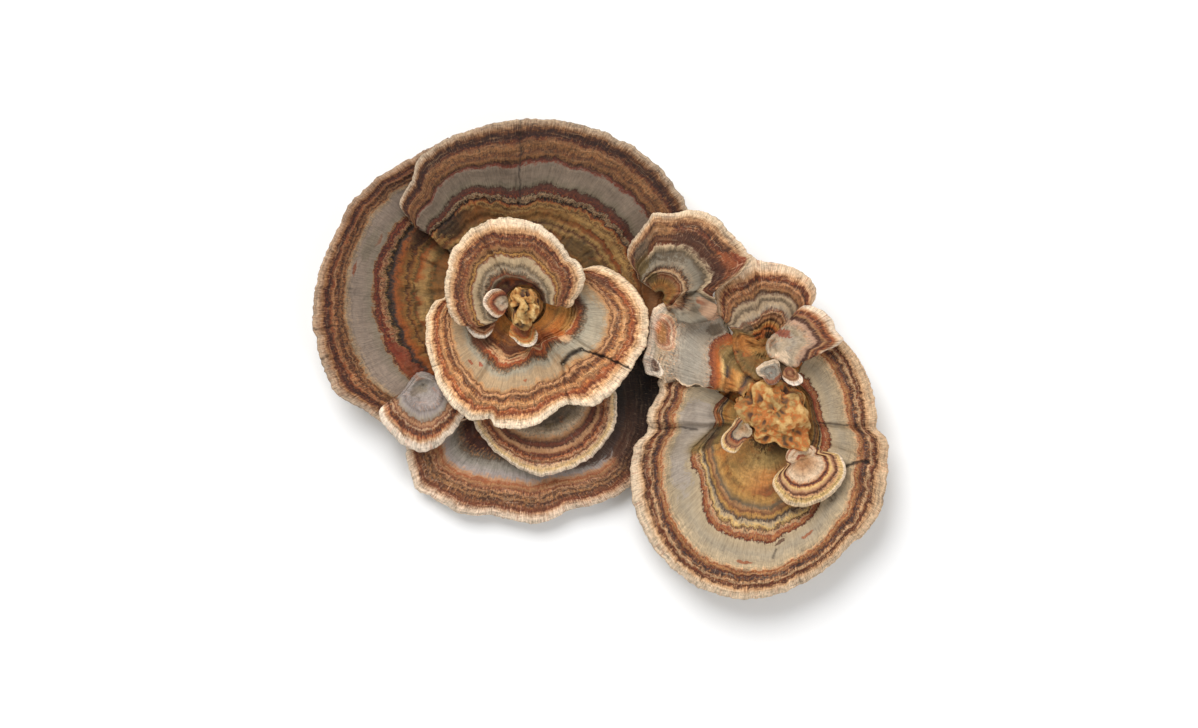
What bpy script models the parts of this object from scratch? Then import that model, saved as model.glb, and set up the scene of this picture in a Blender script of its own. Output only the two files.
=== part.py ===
"""A cluster of turkey tail brackets, cut flat where it grew on the wood.

Lengths are written in millimetres and turned into metres by the constant MM.
X runs to the right and Y to the top of the cluster as it is seen from above, Z points away from the wood.
Every bracket is a thin sheet that fans out around its own growing point.  Its outline is a list of
(bearing in degrees from +X, reach in mm), and so is the inner line where the rust coloured zone starts.
"""

import math

import bmesh
import bpy
from mathutils import Matrix, Vector, noise
from mathutils.bvhtree import BVHTree

MM = 0.001
SEAM_GAP = 0.35
STEM_GAP = 0.6
WELD = 0.00001
SKY = 90.0

# The two short stems that everything grows from: rows of (height, radius), then how far the top reaches.
KNOB_AXIS = (-19.2, 14.2)
KNOB_STEM = [(0.0, 13.5), (1.0, 12.8), (2.2, 10.4), (3.2, 8.8), (5.0, 7.4), (10.0, 6.0), (16.0, 5.0), (21.0, 4.2), (25.0, 3.4)]
KNOB_HEAD = [(26.6, 0.72), (28.4, 1.0), (30.2, 0.92), (31.6, 0.58)]
KNOB_TOP = 32.4
KNOB_REACH = [(-146, 3.5), (-129, 5), (-110, 6.5), (-75, 7), (-66, 5.5), (-40, 5), (0, 3.5), (37, 4), (105, 4), (123, 4.5), (180, 3.5)]

CORE_AXIS = (45.6, -13.2)
CORE_STEM = [(0.0, 15.0), (1.2, 13.8), (2.4, 10.6), (3.6, 8.4), (5.5, 7.3), (8.0, 7.0)]
CORE_HEAD = [(10.6, 0.9), (12.4, 1.0), (14.2, 0.97), (15.8, 0.78), (17.0, 0.45)]
CORE_TOP = 17.4
CORE_REACH = [(-170, 7), (-139, 7), (-124, 8.5), (-88, 7), (-71, 9), (-54, 10.5), (-40, 11.5), (-6, 8), (26, 7.2), (110, 7.5), (162, 8)]

# Growth zones: rows of (how far out, rise of the ridge or furrow there), 0.5 is the inner line, 1 the margin.
ZONES_BIG = [(0, 0), (0.2, 0.1), (0.38, -0.2), (0.5, 0.35), (0.62, -0.15), (0.74, 0.3), (0.85, -0.2), (0.94, 0.25), (1, 0)]
ZONES_MID = [(0, 0), (0.25, -0.1), (0.5, 0.3), (0.64, -0.15), (0.78, 0.25), (0.9, -0.15), (1, 0)]
ZONES_SMALL = [(0, 0), (0.35, -0.1), (0.6, 0.2), (0.82, -0.1), (1, 0)]

BRACKETS = {}

BRACKETS["bottom_bracket"] = dict(
    centre=(-19.2, -6.8), span=None, columns=22, zones=ZONES_MID,
    margin=[(-167, 29.5), (-152, 35.5), (-140, 38.5), (-136, 39.5), (-131, 38.5), (-116, 37.5), (-105, 35.5),
            (-92, 36), (-86, 36.5), (-80, 36), (-69, 35), (-55, 37), (-41, 38.5), (-19, 36), (-5, 33), (25, 21.5),
            (58, 17), (90, 15.5), (132, 17.5), (164, 23)],
    inner=[(-165, 15), (-135, 20.5), (-110, 18.5), (-78, 18.5), (-43, 23), (-11, 20), (36, 11.5), (135, 9.5)],
    height=[(0, 6.4), (0.5, 6.2), (0.85, 6.4), (1, 5.6)], thick=(2.0, 1.3), lobes=0.5,
    tilt=[(-150, 0.3), (-90, 0), (-40, 0.2), (60, 0.6)], clear_of="left_stem_knob", folds=[(-136, 0.5)],
    colour=(0.23, 0.17, 0.13))

BRACKETS["left_bracket"] = dict(
    centre=(-21.7, 14.5), span=(112, 247), columns=18, zones=ZONES_BIG,
    margin=[(112, 46.5), (120, 46), (149, 50), (155, 50), (186, 53), (192, 52.5), (204, 52.5), (210, 51),
            (215, 48.5), (227, 45.5), (235, 43.5), (242, 36), (247, 33)],
    inner=[(112, 31), (137, 33.5), (154, 34), (162, 35.5), (174, 35), (234, 30.5), (247, 29)],
    height=[(0, 10), (0.25, 10.6), (0.5, 12.8), (0.8, 14.4), (0.93, 14.6), (1, 13.8)], thick=(2.2, 1.3), lobes=0.9,
    tilt=[(112, 0), (150, 1), (190, 0.5), (230, -1.8), (247, -2.2)], over=["bottom_bracket"],
    clear_of="left_stem_knob", colour=(0.33, 0.27, 0.2))

BRACKETS["back_bracket"] = dict(
    centre=(-21.6, 14.5), span=(-22, 142), columns=22, zones=ZONES_BIG,
    margin=[(-22, 33), (-19, 34), (1, 42.5), (17, 47.5), (28, 51), (49, 51), (95, 47), (113, 46), (125, 44.5),
            (130, 41.5), (134, 41), (140, 39), (142, 35.5)],
    inner=[(-22, 29), (-8, 32), (31, 31.5), (75, 27), (87, 25.5), (113, 29), (130, 27.5), (136, 28), (142, 28)],
    height=[(0, 12.8), (0.25, 13.2), (0.5, 15.4), (0.75, 17.2), (0.92, 17.8), (1, 17)], thick=(2.2, 1.3), lobes=1.0,
    tilt=[(-22, -3.5), (-5, -2.5), (25, -0.5), (60, 0.5), (100, 1), (125, 0.6), (142, 0.6)],
    over=["bottom_bracket", "left_bracket"], clear_of="left_stem_knob", folds=[(88, 0.6)], colour=(0.33, 0.26, 0.2))

BRACKETS["large_right_bracket"] = dict(
    centre=(44.1, -17.2), span=(-213, 52), columns=32, zones=ZONES_BIG,
    margin=[(-213, 30.5), (-202, 31), (-197, 30), (-186, 31.5), (-176, 32), (-173, 34.5), (-167, 36.5), (-148, 41),
            (-131, 44), (-101, 46), (-64, 39.5), (-57, 38), (-41, 37.5), (-26, 34.5), (-19, 33), (-6, 31),
            (-2, 28.5), (4, 28.5), (48, 29.5), (52, 29.5)],
    inner=[(-213, 14.5), (-195, 16), (-180, 15), (-156, 22), (-136, 26), (-90, 30), (-81, 27.5), (-25, 15.5),
           (-8, 14.5), (15, 13), (32, 13.5), (52, 13.5)],
    height=[(0, 7.4), (0.2, 7.4), (0.5, 8.8), (0.8, 11.6), (0.93, 12), (1, 11.2)], thick=(2.4, 1.4), lobes=1.0,
    tilt=[(-213, -0.5), (-180, 0), (-100, 0.5), (-30, 1), (30, 1), (52, 1)], over=["bottom_bracket"],
    clear_of="right_stem_core", folds=[(-180, 0.7), (-22, 0.5), (0, -0.6)], colour=(0.36, 0.29, 0.22))

BRACKETS["lower_left_bracket"] = dict(
    centre=(-45.5, -6.7), span=None, columns=18, zones=ZONES_MID,
    margin=[(-168, 5), (-159, 6.5), (-156, 9), (-150, 13), (-136, 14.5), (-124, 15), (-111, 16.5), (-93, 17.5),
            (-77, 17), (-69, 15.5), (-56, 14.5), (-36, 13.5), (-19, 12), (0, 6.5), (37, 4), (90, 3.5), (173, 4)],
    inner=[(-156, 4), (-125, 5), (-87, 5.5), (-49, 5.5), (45, 2.5), (140, 2.5)],
    height=[(0, 15.2), (0.5, 16.4), (0.85, 15.6), (1, 14.4)], thick=(1.6, 1.2), lobes=0.3,
    tilt=[(-168, 0.3), (-90, -1.2), (-40, 0), (90, 0.4)], over=["left_bracket", "bottom_bracket"],
    colour=(0.4, 0.31, 0.24))

BRACKETS["crescent_bracket"] = dict(
    centre=(-13.9, -8.6), span=None, columns=18, zones=ZONES_MID,
    margin=[(-174, 20), (-125, 20.5), (-92, 22), (-80, 21.5), (-22, 20), (43, 16), (85, 16), (161, 18)],
    inner=[(-150, 12), (-90, 10.5), (-11, 10.5), (61, 8), (139, 8.5)],
    height=[(0, 11.8), (0.5, 12.2), (0.85, 12.4), (1, 11.6)], thick=(1.8, 1.3), lobes=0.4,
    tilt=[(-174, 0.4), (-90, -0.8), (0, 0)], over=["bottom_bracket", "left_bracket"],
    clear_of="left_stem_knob", colour=(0.36, 0.29, 0.2))

BRACKETS["rosette_lower_bracket"] = dict(
    centre=(-19.5, 12.6), span=(-200, 50), columns=30, zones=ZONES_BIG,
    margin=[(-200, 19), (-189, 20.5), (-186, 22.5), (-182, 24), (-175, 25), (-162, 26.5), (-145, 28), (-137, 29.5),
            (-129, 30.5), (-116, 31.5), (-107, 29.5), (-103, 31), (-84, 30), (-75, 28), (-64, 27), (-55, 30.5),
            (-45, 31.5), (-28, 32), (-15, 33), (-1, 32.5), (10, 30), (22, 26), (30, 23), (38, 17), (50, 16)],
    inner=[(-200, 13.5), (-180, 13.5), (-131, 14), (-98, 14), (-87, 13), (-75, 10), (-49, 10.5), (-30, 12.5),
           (-20, 13.5), (3, 14.5), (39, 12.5), (50, 12)],
    height=[(0, 17.9), (0.25, 17.9), (0.5, 19.4), (0.8, 21.6), (0.92, 21.8), (1, 21)], thick=(2.0, 1.3), lobes=0.8,
    tilt=[(-200, 1.5), (-160, 1), (-120, 0), (-60, -1), (0, 0), (50, 0)],
    over=["bottom_bracket", "left_bracket", "back_bracket", "lower_left_bracket", "crescent_bracket"],
    clear_of="left_stem_knob", folds=[(-57, 0.7), (-122, 0.4)], cracks=[(-31, 0.55, 0.9)], colour=(0.36, 0.3, 0.24))

BRACKETS["tucked_cap"] = dict(
    centre=(-29.7, 10.0), span=None, columns=12, zones=ZONES_SMALL,
    margin=[(-156, 4.5), (-99, 4.5), (-81, 5), (-66, 4.5), (20, 3), (90, 2.5), (155, 3.5)], inner=None,
    height=[(0, 22), (0.5, 22.6), (1, 22.8)], thick=(1.1, 0.9), lobes=0.2, tilt=[(-90, 0.6), (90, -0.4)],
    over=["rosette_lower_bracket"], colour=(0.5, 0.36, 0.24))

BRACKETS["rosette_upper_bracket"] = dict(
    centre=(-21.4, 15.6), span=(-12, 229), columns=26, zones=ZONES_MID,
    margin=[(-12, 13.5), (-6, 15), (-1, 15.5), (7, 17.5), (16, 18.5), (26, 19), (36, 18), (50, 18.5), (63, 19.5),
            (75, 20), (99, 21), (121, 21), (145, 20), (157, 19), (182, 18), (202, 16.5), (209, 15), (220, 11.5),
            (229, 7.5)],
    inner=[(-12, 6.5), (28, 6.5), (57, 5.5), (147, 7), (229, 6)],
    height=[(0, 22.2), (0.3, 22.8), (0.5, 24.2), (0.8, 26.8), (0.92, 27.2), (1, 26.4)], thick=(1.9, 1.2), lobes=0.6,
    tilt=[(-12, -1.5), (40, 0), (100, 1), (180, 1), (229, 1.2)], over=["rosette_lower_bracket", "tucked_cap"],
    clear_of="left_stem_knob", folds=[(117, 0.25)], colour=(0.36, 0.28, 0.2))

BRACKETS["curled_cap"] = dict(
    centre=(-24.6, 14.3), span=None, columns=12, zones=ZONES_SMALL,
    margin=[(-160, 4.2), (-136, 4.0), (-114, 4.3), (-98, 4), (-75, 2.6), (-40, 1.8), (37, 1.8), (80, 3), (103, 4),
            (120, 4.2), (158, 4.4), (178, 4.7)], inner=None,
    height=[(0, 27.2), (0.5, 28), (1, 30)], thick=(1.0, 0.9), lobes=0.1, tilt=[(-160, 0.3), (-60, -1.6), (0, -2.6), (60, -1.6)],
    over=["rosette_upper_bracket"], clear_of="left_stem_knob", colour=(0.52, 0.38, 0.25))

BRACKETS["knob_cap"] = dict(
    centre=(-19.5, 6.9), span=None, columns=12, zones=ZONES_SMALL,
    margin=[(-163, 3.5), (-137, 3), (-103, 3.5), (-80, 4), (-39, 4.5), (-10, 4), (17, 3.5), (50, 3.6), (90, 3.8),
            (130, 3.6), (166, 3.5)], inner=None,
    height=[(0, 25.4), (0.5, 25.8), (1, 26.2)], thick=(1.3, 1.0), lobes=0.1,
    tilt=[(-90, 0.6), (90, -0.9)], clear_of="left_stem_knob", stem_only=True, colour=(0.55, 0.33, 0.14))

BRACKETS["saddle_bracket"] = dict(
    centre=(43.9, -10.6), span=(120, 169), columns=13, zones=ZONES_MID,
    margin=[(120, 29.5), (126, 30.5), (138, 31.5), (144, 33), (152, 33), (163, 33.5), (169, 32)],
    inner=[(120, 20), (134, 20), (144, 17.5), (157, 15), (169, 14.5)],
    height=[(0, 13.8), (0.5, 14.4), (0.85, 15.2), (1, 14.4)], thick=(1.8, 1.2), lobes=0.4,
    tilt=[(120, 0.3), (169, 0)], over=["large_right_bracket", "back_bracket", "bottom_bracket"],
    clear_of="right_stem_core", colour=(0.42, 0.36, 0.3))

BRACKETS["shoulder_bracket"] = dict(
    centre=(43.1, 3.6), span=None, columns=20, zones=ZONES_MID,
    margin=[(-153, 8.5), (-124, 9), (-90, 10), (-57, 9), (-27, 7.5), (11, 6.5), (34, 8.5), (41, 16.5), (47, 19.5),
            (57, 21), (75, 21.5), (94, 22), (98, 23), (110, 23), (123, 21.5), (134, 19), (142, 16), (147, 14),
            (153, 11), (160, 9)],
    inner=[(-153, 4), (-90, 4), (-27, 3.5), (11, 3.5), (56, 9), (74, 9), (88, 8.5), (115, 7), (161, 6)],
    height=[(0, 14), (0.5, 15.2), (0.8, 17.2), (0.93, 17.6), (1, 16.8)], thick=(1.8, 1.2), lobes=0.4,
    tilt=[(-150, -1), (-90, -1.6), (0, -0.5), (80, 0.4), (150, 0.4)],
    over=["large_right_bracket", "saddle_bracket"], clear_of="right_stem_core", folds=[(96, 0.4)],
    colour=(0.4, 0.33, 0.26))

BRACKETS["junction_bracket"] = dict(
    centre=(15.8, 16.4), span=(-55, 140), hub=1.2, columns=20, zones=ZONES_MID,
    margin=[(-55, 8.5), (-51, 9), (-19, 15.5), (-5, 14.5), (3, 14), (10, 17.5), (14, 21), (17, 23), (22, 26),
            (26, 25.5), (44, 24), (49, 24.5), (62, 24.5), (72, 23), (76, 22), (86, 21), (95, 21.5), (99, 19.5),
            (105, 18), (127, 14), (132, 12), (136, 8.5), (140, 7)],
    inner=[(-55, 6), (-49, 6.5), (32, 6.5), (69, 6.5), (140, 6)],
    height=[(0, 18.6), (0.3, 19.4), (0.5, 21), (0.8, 24.4), (0.93, 24.8), (1, 24)], thick=(1.9, 1.2), lobes=0.6,
    tilt=[(-55, -2.6), (-20, -1.8), (30, 0), (100, 0.5), (140, 0)],
    over=["back_bracket", "shoulder_bracket", "saddle_bracket"], folds=[(7, 0.3), (97, 0.3)],
    colour=(0.38, 0.32, 0.26))

BRACKETS["notch_bracket"] = dict(
    centre=(45.6, 3.6), span=None, columns=16, zones=ZONES_SMALL,
    margin=[(-120, 3.5), (-74, 4.5), (-46, 8), (-31, 8.5), (-9, 12.5), (3, 17.5), (15, 16.5), (24, 16.5),
            (50, 13.5), (57, 11.5), (64, 6), (100, 3), (180, 2.5)], inner=None,
    height=[(0, 17), (0.5, 18), (0.85, 18.8), (1, 18.2)], thick=(1.5, 1.1), lobes=0.3, tilt=[(0, 0), (90, 0.4)],
    over=["shoulder_bracket", "large_right_bracket"], colour=(0.38, 0.27, 0.22))

BRACKETS["fold_cap"] = dict(
    centre=(44.8, -3.4), span=None, columns=12, zones=ZONES_SMALL,
    margin=[(-148, 2), (-88, 3.5), (-37, 2.5), (25, 2.5), (73, 3), (104, 3), (146, 3.5), (179, 4.2)], inner=None,
    height=[(0, 16.6), (0.5, 17.4), (1, 18)], thick=(1.0, 0.9), lobes=0.1, tilt=[(90, 0.4), (-90, -0.3)],
    over=["shoulder_bracket", "saddle_bracket", "right_stem_core"], colour=(0.42, 0.35, 0.36))

BRACKETS["tiny_cap"] = dict(
    centre=(49.5, -3.6), span=None, columns=12, zones=ZONES_SMALL,
    margin=[(-171, 2.2), (-96, 3), (-52, 4), (-22, 3.5), (2, 2), (41, 1.5), (129, 1.8), (172, 2)], inner=None,
    height=[(0, 18.8), (0.5, 19.4), (1, 20)], thick=(1.0, 0.9), lobes=0.1, tilt=[(-60, 0.4), (120, -0.4)],
    over=["shoulder_bracket", "notch_bracket", "right_stem_core", "large_right_bracket", "fold_cap"],
    colour=(0.62, 0.47, 0.33))

BRACKETS["double_cap"] = dict(
    centre=(52.8, -26.1), span=None, columns=16, zones=ZONES_SMALL,
    margin=[(-162, 4.5), (-154, 6.5), (-147, 9), (-138, 10.5), (-128, 11), (-114, 12), (-97, 12.5), (-66, 12),
            (-31, 12), (-16, 12), (-2, 11), (10, 9.5), (17, 7), (25, 5.5), (56, 4.5), (79, 4.5), (129, 4.5),
            (173, 4.5)], inner=None,
    height=[(0, 14), (0.5, 14.6), (0.85, 15.8), (1, 15.2)], thick=(1.7, 1.2), lobes=0.3,
    tilt=[(-90, 0.5), (90, -1)], over=["large_right_bracket"], clear_of="right_stem_core",
    colour=(0.5, 0.42, 0.32))

BRACKETS["side_cap"] = dict(
    centre=(37.4, -18.0), span=None, columns=14, zones=ZONES_SMALL,
    margin=[(-175, 4), (-158, 6), (-145, 7), (-133, 7.5), (-111, 7), (-103, 6), (-90, 4), (-66, 3), (-25, 3),
            (25, 3), (75, 3), (110, 3.2), (154, 3)], inner=None,
    height=[(0, 14), (0.5, 14.6), (1, 15.4)], thick=(1.4, 1.0), lobes=0.2, tilt=[(-140, 0.5), (40, -0.4)],
    over=["large_right_bracket"], clear_of="right_stem_core", colour=(0.5, 0.4, 0.3))


def lined(points, at):
    """Straight interpolation in a list of (place, value), held flat past both ends."""
    if at <= points[0][0]:
        return points[0][1]
    for (a, low), (b, high) in zip(points, points[1:]):
        if at <= b:
            return low + (high - low) * (at - a) / (b - a)
    return points[-1][1]


def turned(points, bearing, closed):
    """Smooth reach in a list of (bearing, reach); a closed list runs on past 180 degrees."""
    if closed:
        points = [(b - 360, r) for b, r in points[-3:]] + points + [(b + 360, r) for b, r in points[:3]]
        bearing = (bearing + 180) % 360 - 180
    last = len(points) - 1
    bearing = min(max(bearing, points[0][0]), points[last][0])
    k = 0
    while k < last - 1 and bearing > points[k + 1][0]:
        k += 1
    slopes = []
    for i in (k, k + 1):
        before, after = points[max(i - 1, 0)], points[min(i + 1, last)]
        slopes.append((after[1] - before[1]) / (after[0] - before[0]))
    (a, low), (b, high) = points[k], points[k + 1]
    t = (bearing - a) / (b - a)
    t2, t3 = t * t, t * t * t
    pull = (b - a) * ((t3 - 2 * t2 + t) * slopes[0] + (t3 - t2) * slopes[1])
    return (2 * t3 - 3 * t2 + 1) * low + (3 * t2 - 2 * t3) * high + pull


STEMS = {"left_stem_knob": (KNOB_AXIS, KNOB_STEM, KNOB_REACH), "right_stem_core": (CORE_AXIS, CORE_STEM, CORE_REACH)}


def stem_radius(stem, height, bearing, stem_only):
    """How far a stem reaches at a height: round low down, lumpy at its top."""
    axis, rows, reach = STEMS[stem]
    top = rows[-1][0]
    if height > top and not stem_only:
        return max(turned(reach, bearing, True), rows[-1][1])
    return lined(rows, height)


def outside(spec, x, y):
    """True where a sheet's upper and lower sides both stay clear of the stem it grows from."""
    stem = spec.get("clear_of")
    if not stem:
        return True
    axis = STEMS[stem][0]
    bearing = math.degrees(math.atan2(y - axis[1], x - axis[0]))
    upper = spec["height"][0][1]
    radii = [stem_radius(stem, z, bearing, spec.get("stem_only", False)) for z in (upper, upper - spec["thick"][0])]
    return math.hypot(x - axis[0], y - axis[1]) > max(radii) + STEM_GAP


def reaches(spec, bearing):
    """Start, inner line and margin along one bearing, kept off the stem it grows from."""
    closed = spec["span"] is None
    margin = turned(spec["margin"], bearing, closed)
    start = 0.0 if closed else spec.get("hub", 1.0)
    cosine, sine = math.cos(math.radians(bearing)), math.sin(math.radians(bearing))
    cx, cy = spec["centre"]
    if closed:
        r = 0.5
        while r < margin and outside(spec, cx + r * cosine, cy + r * sine):
            r += 0.1
        margin = min(margin, r)
    else:
        while not outside(spec, cx + start * cosine, cy + start * sine):
            start += 0.1
    inner = turned(spec["inner"], bearing, closed) if spec["inner"] else start + (margin - start) * 0.5
    inner = min(max(inner, start + 0.8), max(margin - 1.5, (start + margin) / 2))
    return start, inner, margin


def columns_of(spec):
    """Bearings of the mesh columns, with extra ones on both sides of a fold or a crack."""
    low, high = spec["span"] or (-180.0, 180.0)
    step = (high - low) / spec["columns"]
    bearings = [low + step * i for i in range(spec["columns"] + 1)]
    marks = [(b, (-1.0, 1.0)) for b, _ in spec.get("folds", [])]
    marks += [(b, (-2.5, 0.0, 2.5)) for b, _, _ in spec.get("cracks", [])]
    for mark, sides in marks:
        bearings = [b for b in bearings if abs(b - mark) > 3.2 or b in (low, high)]
        bearings += [mark + side for side in sides if low < mark + side < high]
    return sorted(bearings)


def surface(spec, seed):
    """Top surface as a function of (bearing, how far out)."""
    cx, cy = spec["centre"]
    closed = spec["span"] is None

    def point(bearing, out):
        start, inner, margin = reaches(spec, bearing)
        if out < 0.5:
            r = start + (inner - start) * out / 0.5
        else:
            r = inner + (margin - inner) * (out - 0.5) / 0.5
        x = cx + r * math.cos(math.radians(bearing))
        y = cy + r * math.sin(math.radians(bearing))
        z = lined(spec["height"], out)
        z += lined(spec["zones"], out)
        z += turned(spec["tilt"], bearing, closed) * min(1.0, out * 1.3)
        z += spec["lobes"] * noise.noise(Vector((x * 0.11, y * 0.11, seed * 3.7))) * 2.0 * min(1.0, out * 1.5)
        for mark, rise in spec.get("folds", []):
            off = bearing - mark
            if abs(off) < 22:
                fade = 1 - abs(off) / 22
                z += (rise if off < 0 else -rise) * fade * fade * min(1.0, out * 1.4)
        for mark, first, depth in spec.get("cracks", []):
            off = abs(bearing - mark)
            if off < 2.4 and out > first:
                z -= depth * (1 - off / 2.4)
        return x, y, z
    return point


def thickness(spec, out):
    return spec["thick"][0] + (spec["thick"][1] - spec["thick"][0]) * out


def lowest_allowed(spec, point, bearings, zones, carriers):
    """Height under which each mesh point would press into a bracket below it."""
    need = {}
    if not carriers:
        return need
    count = len(bearings) - 1
    for i, bearing in enumerate(bearings):
        before, after = bearings[max(i - 1, 0)], bearings[min(i + 1, count)]
        for j, (out, _) in enumerate(zones):
            inside, beyond = zones[max(j - 1, 0)][0], zones[min(j + 1, len(zones) - 1)][0]
            highest = -1.0
            for b in (before, (before + bearing) / 2, bearing, (bearing + after) / 2, after):
                for o in (inside, (inside + out) / 2, out, (out + beyond) / 2, beyond):
                    x, y, _ = point(b, o)
                    for tree in carriers:
                        hit = tree.ray_cast(Vector((x * MM, y * MM, SKY * MM)), Vector((0, 0, -1)))
                        if hit[0] is not None:
                            highest = max(highest, hit[0].z / MM)
            if highest > 0:
                need[i, j] = highest + SEAM_GAP + thickness(spec, out)
    return need


def draped(heights, need, columns, rows):
    """Lift the sheet where something lies under it, and let the lift fade out around that place."""
    lift = {key: max(0.0, need.get(key, -1.0) - z) for key, z in heights.items()}
    for _ in range(4):
        spread = {}
        for (i, j), value in lift.items():
            near = []
            for di, dj in ((1, 0), (-1, 0), (0, 1), (0, -1)):
                side = (min(max(i + di, 0), columns), min(max(j + dj, 0), rows))
                near.append(lift[side])
            spread[i, j] = max(value, 0.75 * sum(near) / 4)
        lift = spread
    return {key: heights[key] + lift[key] for key in heights}


def material(name, colour, roughness):
    mat = bpy.data.materials.new(name)
    mat.use_nodes = True
    shader = mat.node_tree.nodes["Principled BSDF"]
    shader.inputs["Base Color"].default_value = (*colour, 1.0)
    shader.inputs["Roughness"].default_value = roughness
    shader.inputs["Metallic"].default_value = 0.0
    mat.diffuse_color = (*colour, 1.0)
    return mat


def placed(mesh, name, colour, group):
    body = bpy.data.objects.new(name, mesh)
    mesh.materials.append(material(name + "_skin", colour, 0.85))
    group.objects.link(body)
    return body


def bracket(name, spec, seed, group, built):
    point = surface(spec, seed)
    bearings = columns_of(spec)
    zones = spec["zones"]
    columns, rows = len(bearings) - 1, len(zones) - 1
    heights = {}
    for i, bearing in enumerate(bearings):
        for j, (out, _) in enumerate(zones):
            heights[i, j] = point(bearing, out)[2]
    carriers = []
    graph = bpy.context.evaluated_depsgraph_get()
    for below in spec.get("over", []):
        carriers.append(BVHTree.FromObject(built[below], graph))
    heights = draped(heights, lowest_allowed(spec, point, bearings, zones, carriers), columns, rows)
    closed = spec["span"] is None
    if closed:
        middle = max(heights[i, 0] for i in range(columns))
        for i in range(columns + 1):
            heights[i, 0] = middle
        for j in range(rows + 1):
            heights[columns, j] = heights[0, j] = max(heights[0, j], heights[columns, j])

    sheet = bmesh.new()
    layer = sheet.verts.layers.float.new("out")
    bmesh.ops.create_grid(sheet, x_segments=columns, y_segments=rows, size=1.0)
    for vert in sheet.verts:
        i = round((vert.co.x + 1) / 2 * columns)
        j = round((vert.co.y + 1) / 2 * rows)
        x, y, _ = point(bearings[i], zones[j][0])
        vert.co = Vector((x, y, heights[i, j])) * MM
        vert[layer] = zones[j][0]
    bmesh.ops.remove_doubles(sheet, verts=sheet.verts[:], dist=WELD)
    bmesh.ops.recalc_face_normals(sheet, faces=sheet.faces[:])
    if sum(face.normal.z for face in sheet.faces) < 0:
        bmesh.ops.reverse_faces(sheet, faces=sheet.faces[:])
    mesh = bpy.data.meshes.new(name)
    sheet.to_mesh(mesh)
    sheet.free()

    body = placed(mesh, name, spec["colour"], group)
    thin = body.vertex_groups.new(name="flesh")
    for vert, value in zip(mesh.vertices, mesh.attributes["out"].data):
        thin.add([vert.index], thickness(spec, value.value) / spec["thick"][0], "REPLACE")
    mesh.attributes.remove(mesh.attributes["out"])
    flesh = body.modifiers.new("Flesh", "SOLIDIFY")
    flesh.thickness = spec["thick"][0] * MM
    flesh.offset = -1.0
    flesh.vertex_group = "flesh"
    flesh.use_quality_normals = True
    return body


def stem(name, axis, stem_rows, head_rows, top, reach, colour, seed, group):
    """A short stem with a flat cut foot and a warty head, from a ball pulled to the profile."""
    rows = [(z, r, False) for z, r in stem_rows] + [(z, f, True) for z, f in head_rows]
    around = 20
    ball = bmesh.new()
    bmesh.ops.create_uvsphere(ball, u_segments=around, v_segments=len(rows) + 1, radius=1.0)
    for vert in ball.verts:
        level = round((1 - math.acos(max(-1.0, min(1.0, vert.co.z))) / math.pi) * (len(rows) + 1))
        bearing = math.degrees(math.atan2(vert.co.y, vert.co.x))
        if level == 0:
            vert.co = Vector((axis[0], axis[1], 0.0)) * MM
            continue
        if level > len(rows):
            vert.co = Vector((axis[0], axis[1], top)) * MM
            continue
        z, size, is_head = rows[level - 1]
        r = size * turned(reach, bearing, True) if is_head else size
        x = axis[0] + r * math.cos(math.radians(bearing))
        y = axis[1] + r * math.sin(math.radians(bearing))
        if is_head:
            bump = noise.noise(Vector((x * 0.45, y * 0.45, z * 0.45 + seed)))
            z += 1.1 * bump
            r -= 0.6 * abs(bump)
            x = axis[0] + r * math.cos(math.radians(bearing))
            y = axis[1] + r * math.sin(math.radians(bearing))
        vert.co = Vector((x, y, z)) * MM
    mesh = bpy.data.meshes.new(name)
    ball.to_mesh(mesh)
    ball.free()
    return placed(mesh, name, colour, group)


def centred(group):
    """Slide everything sideways so that the origin lies under the middle of the whole cluster."""
    graph = bpy.context.evaluated_depsgraph_get()
    points = []
    for body in group.objects:
        shape = body.evaluated_get(graph).to_mesh()
        points += [vert.co.copy() for vert in shape.vertices]
    middle_x = (min(p.x for p in points) + max(p.x for p in points)) / 2
    middle_y = (min(p.y for p in points) + max(p.y for p in points)) / 2
    for body in group.objects:
        body.data.transform(Matrix.Translation((-middle_x, -middle_y, 0)))


def main():
    for old in list(bpy.data.objects):
        bpy.data.objects.remove(old, do_unlink=True)
    group = bpy.data.collections.new("turkey_tail_mushroom")
    bpy.context.scene.collection.children.link(group)
    built = {}
    built["left_stem_knob"] = stem("left_stem_knob", KNOB_AXIS, KNOB_STEM, KNOB_HEAD, KNOB_TOP, KNOB_REACH,
                                   (0.45, 0.28, 0.1), 1.0, group)
    built["right_stem_core"] = stem("right_stem_core", CORE_AXIS, CORE_STEM, CORE_HEAD, CORE_TOP, CORE_REACH,
                                    (0.45, 0.27, 0.1), 5.0, group)
    for seed, (name, spec) in enumerate(BRACKETS.items()):
        built[name] = bracket(name, spec, seed, group, built)
        bpy.context.view_layer.update()
    centred(group)


main()
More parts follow.
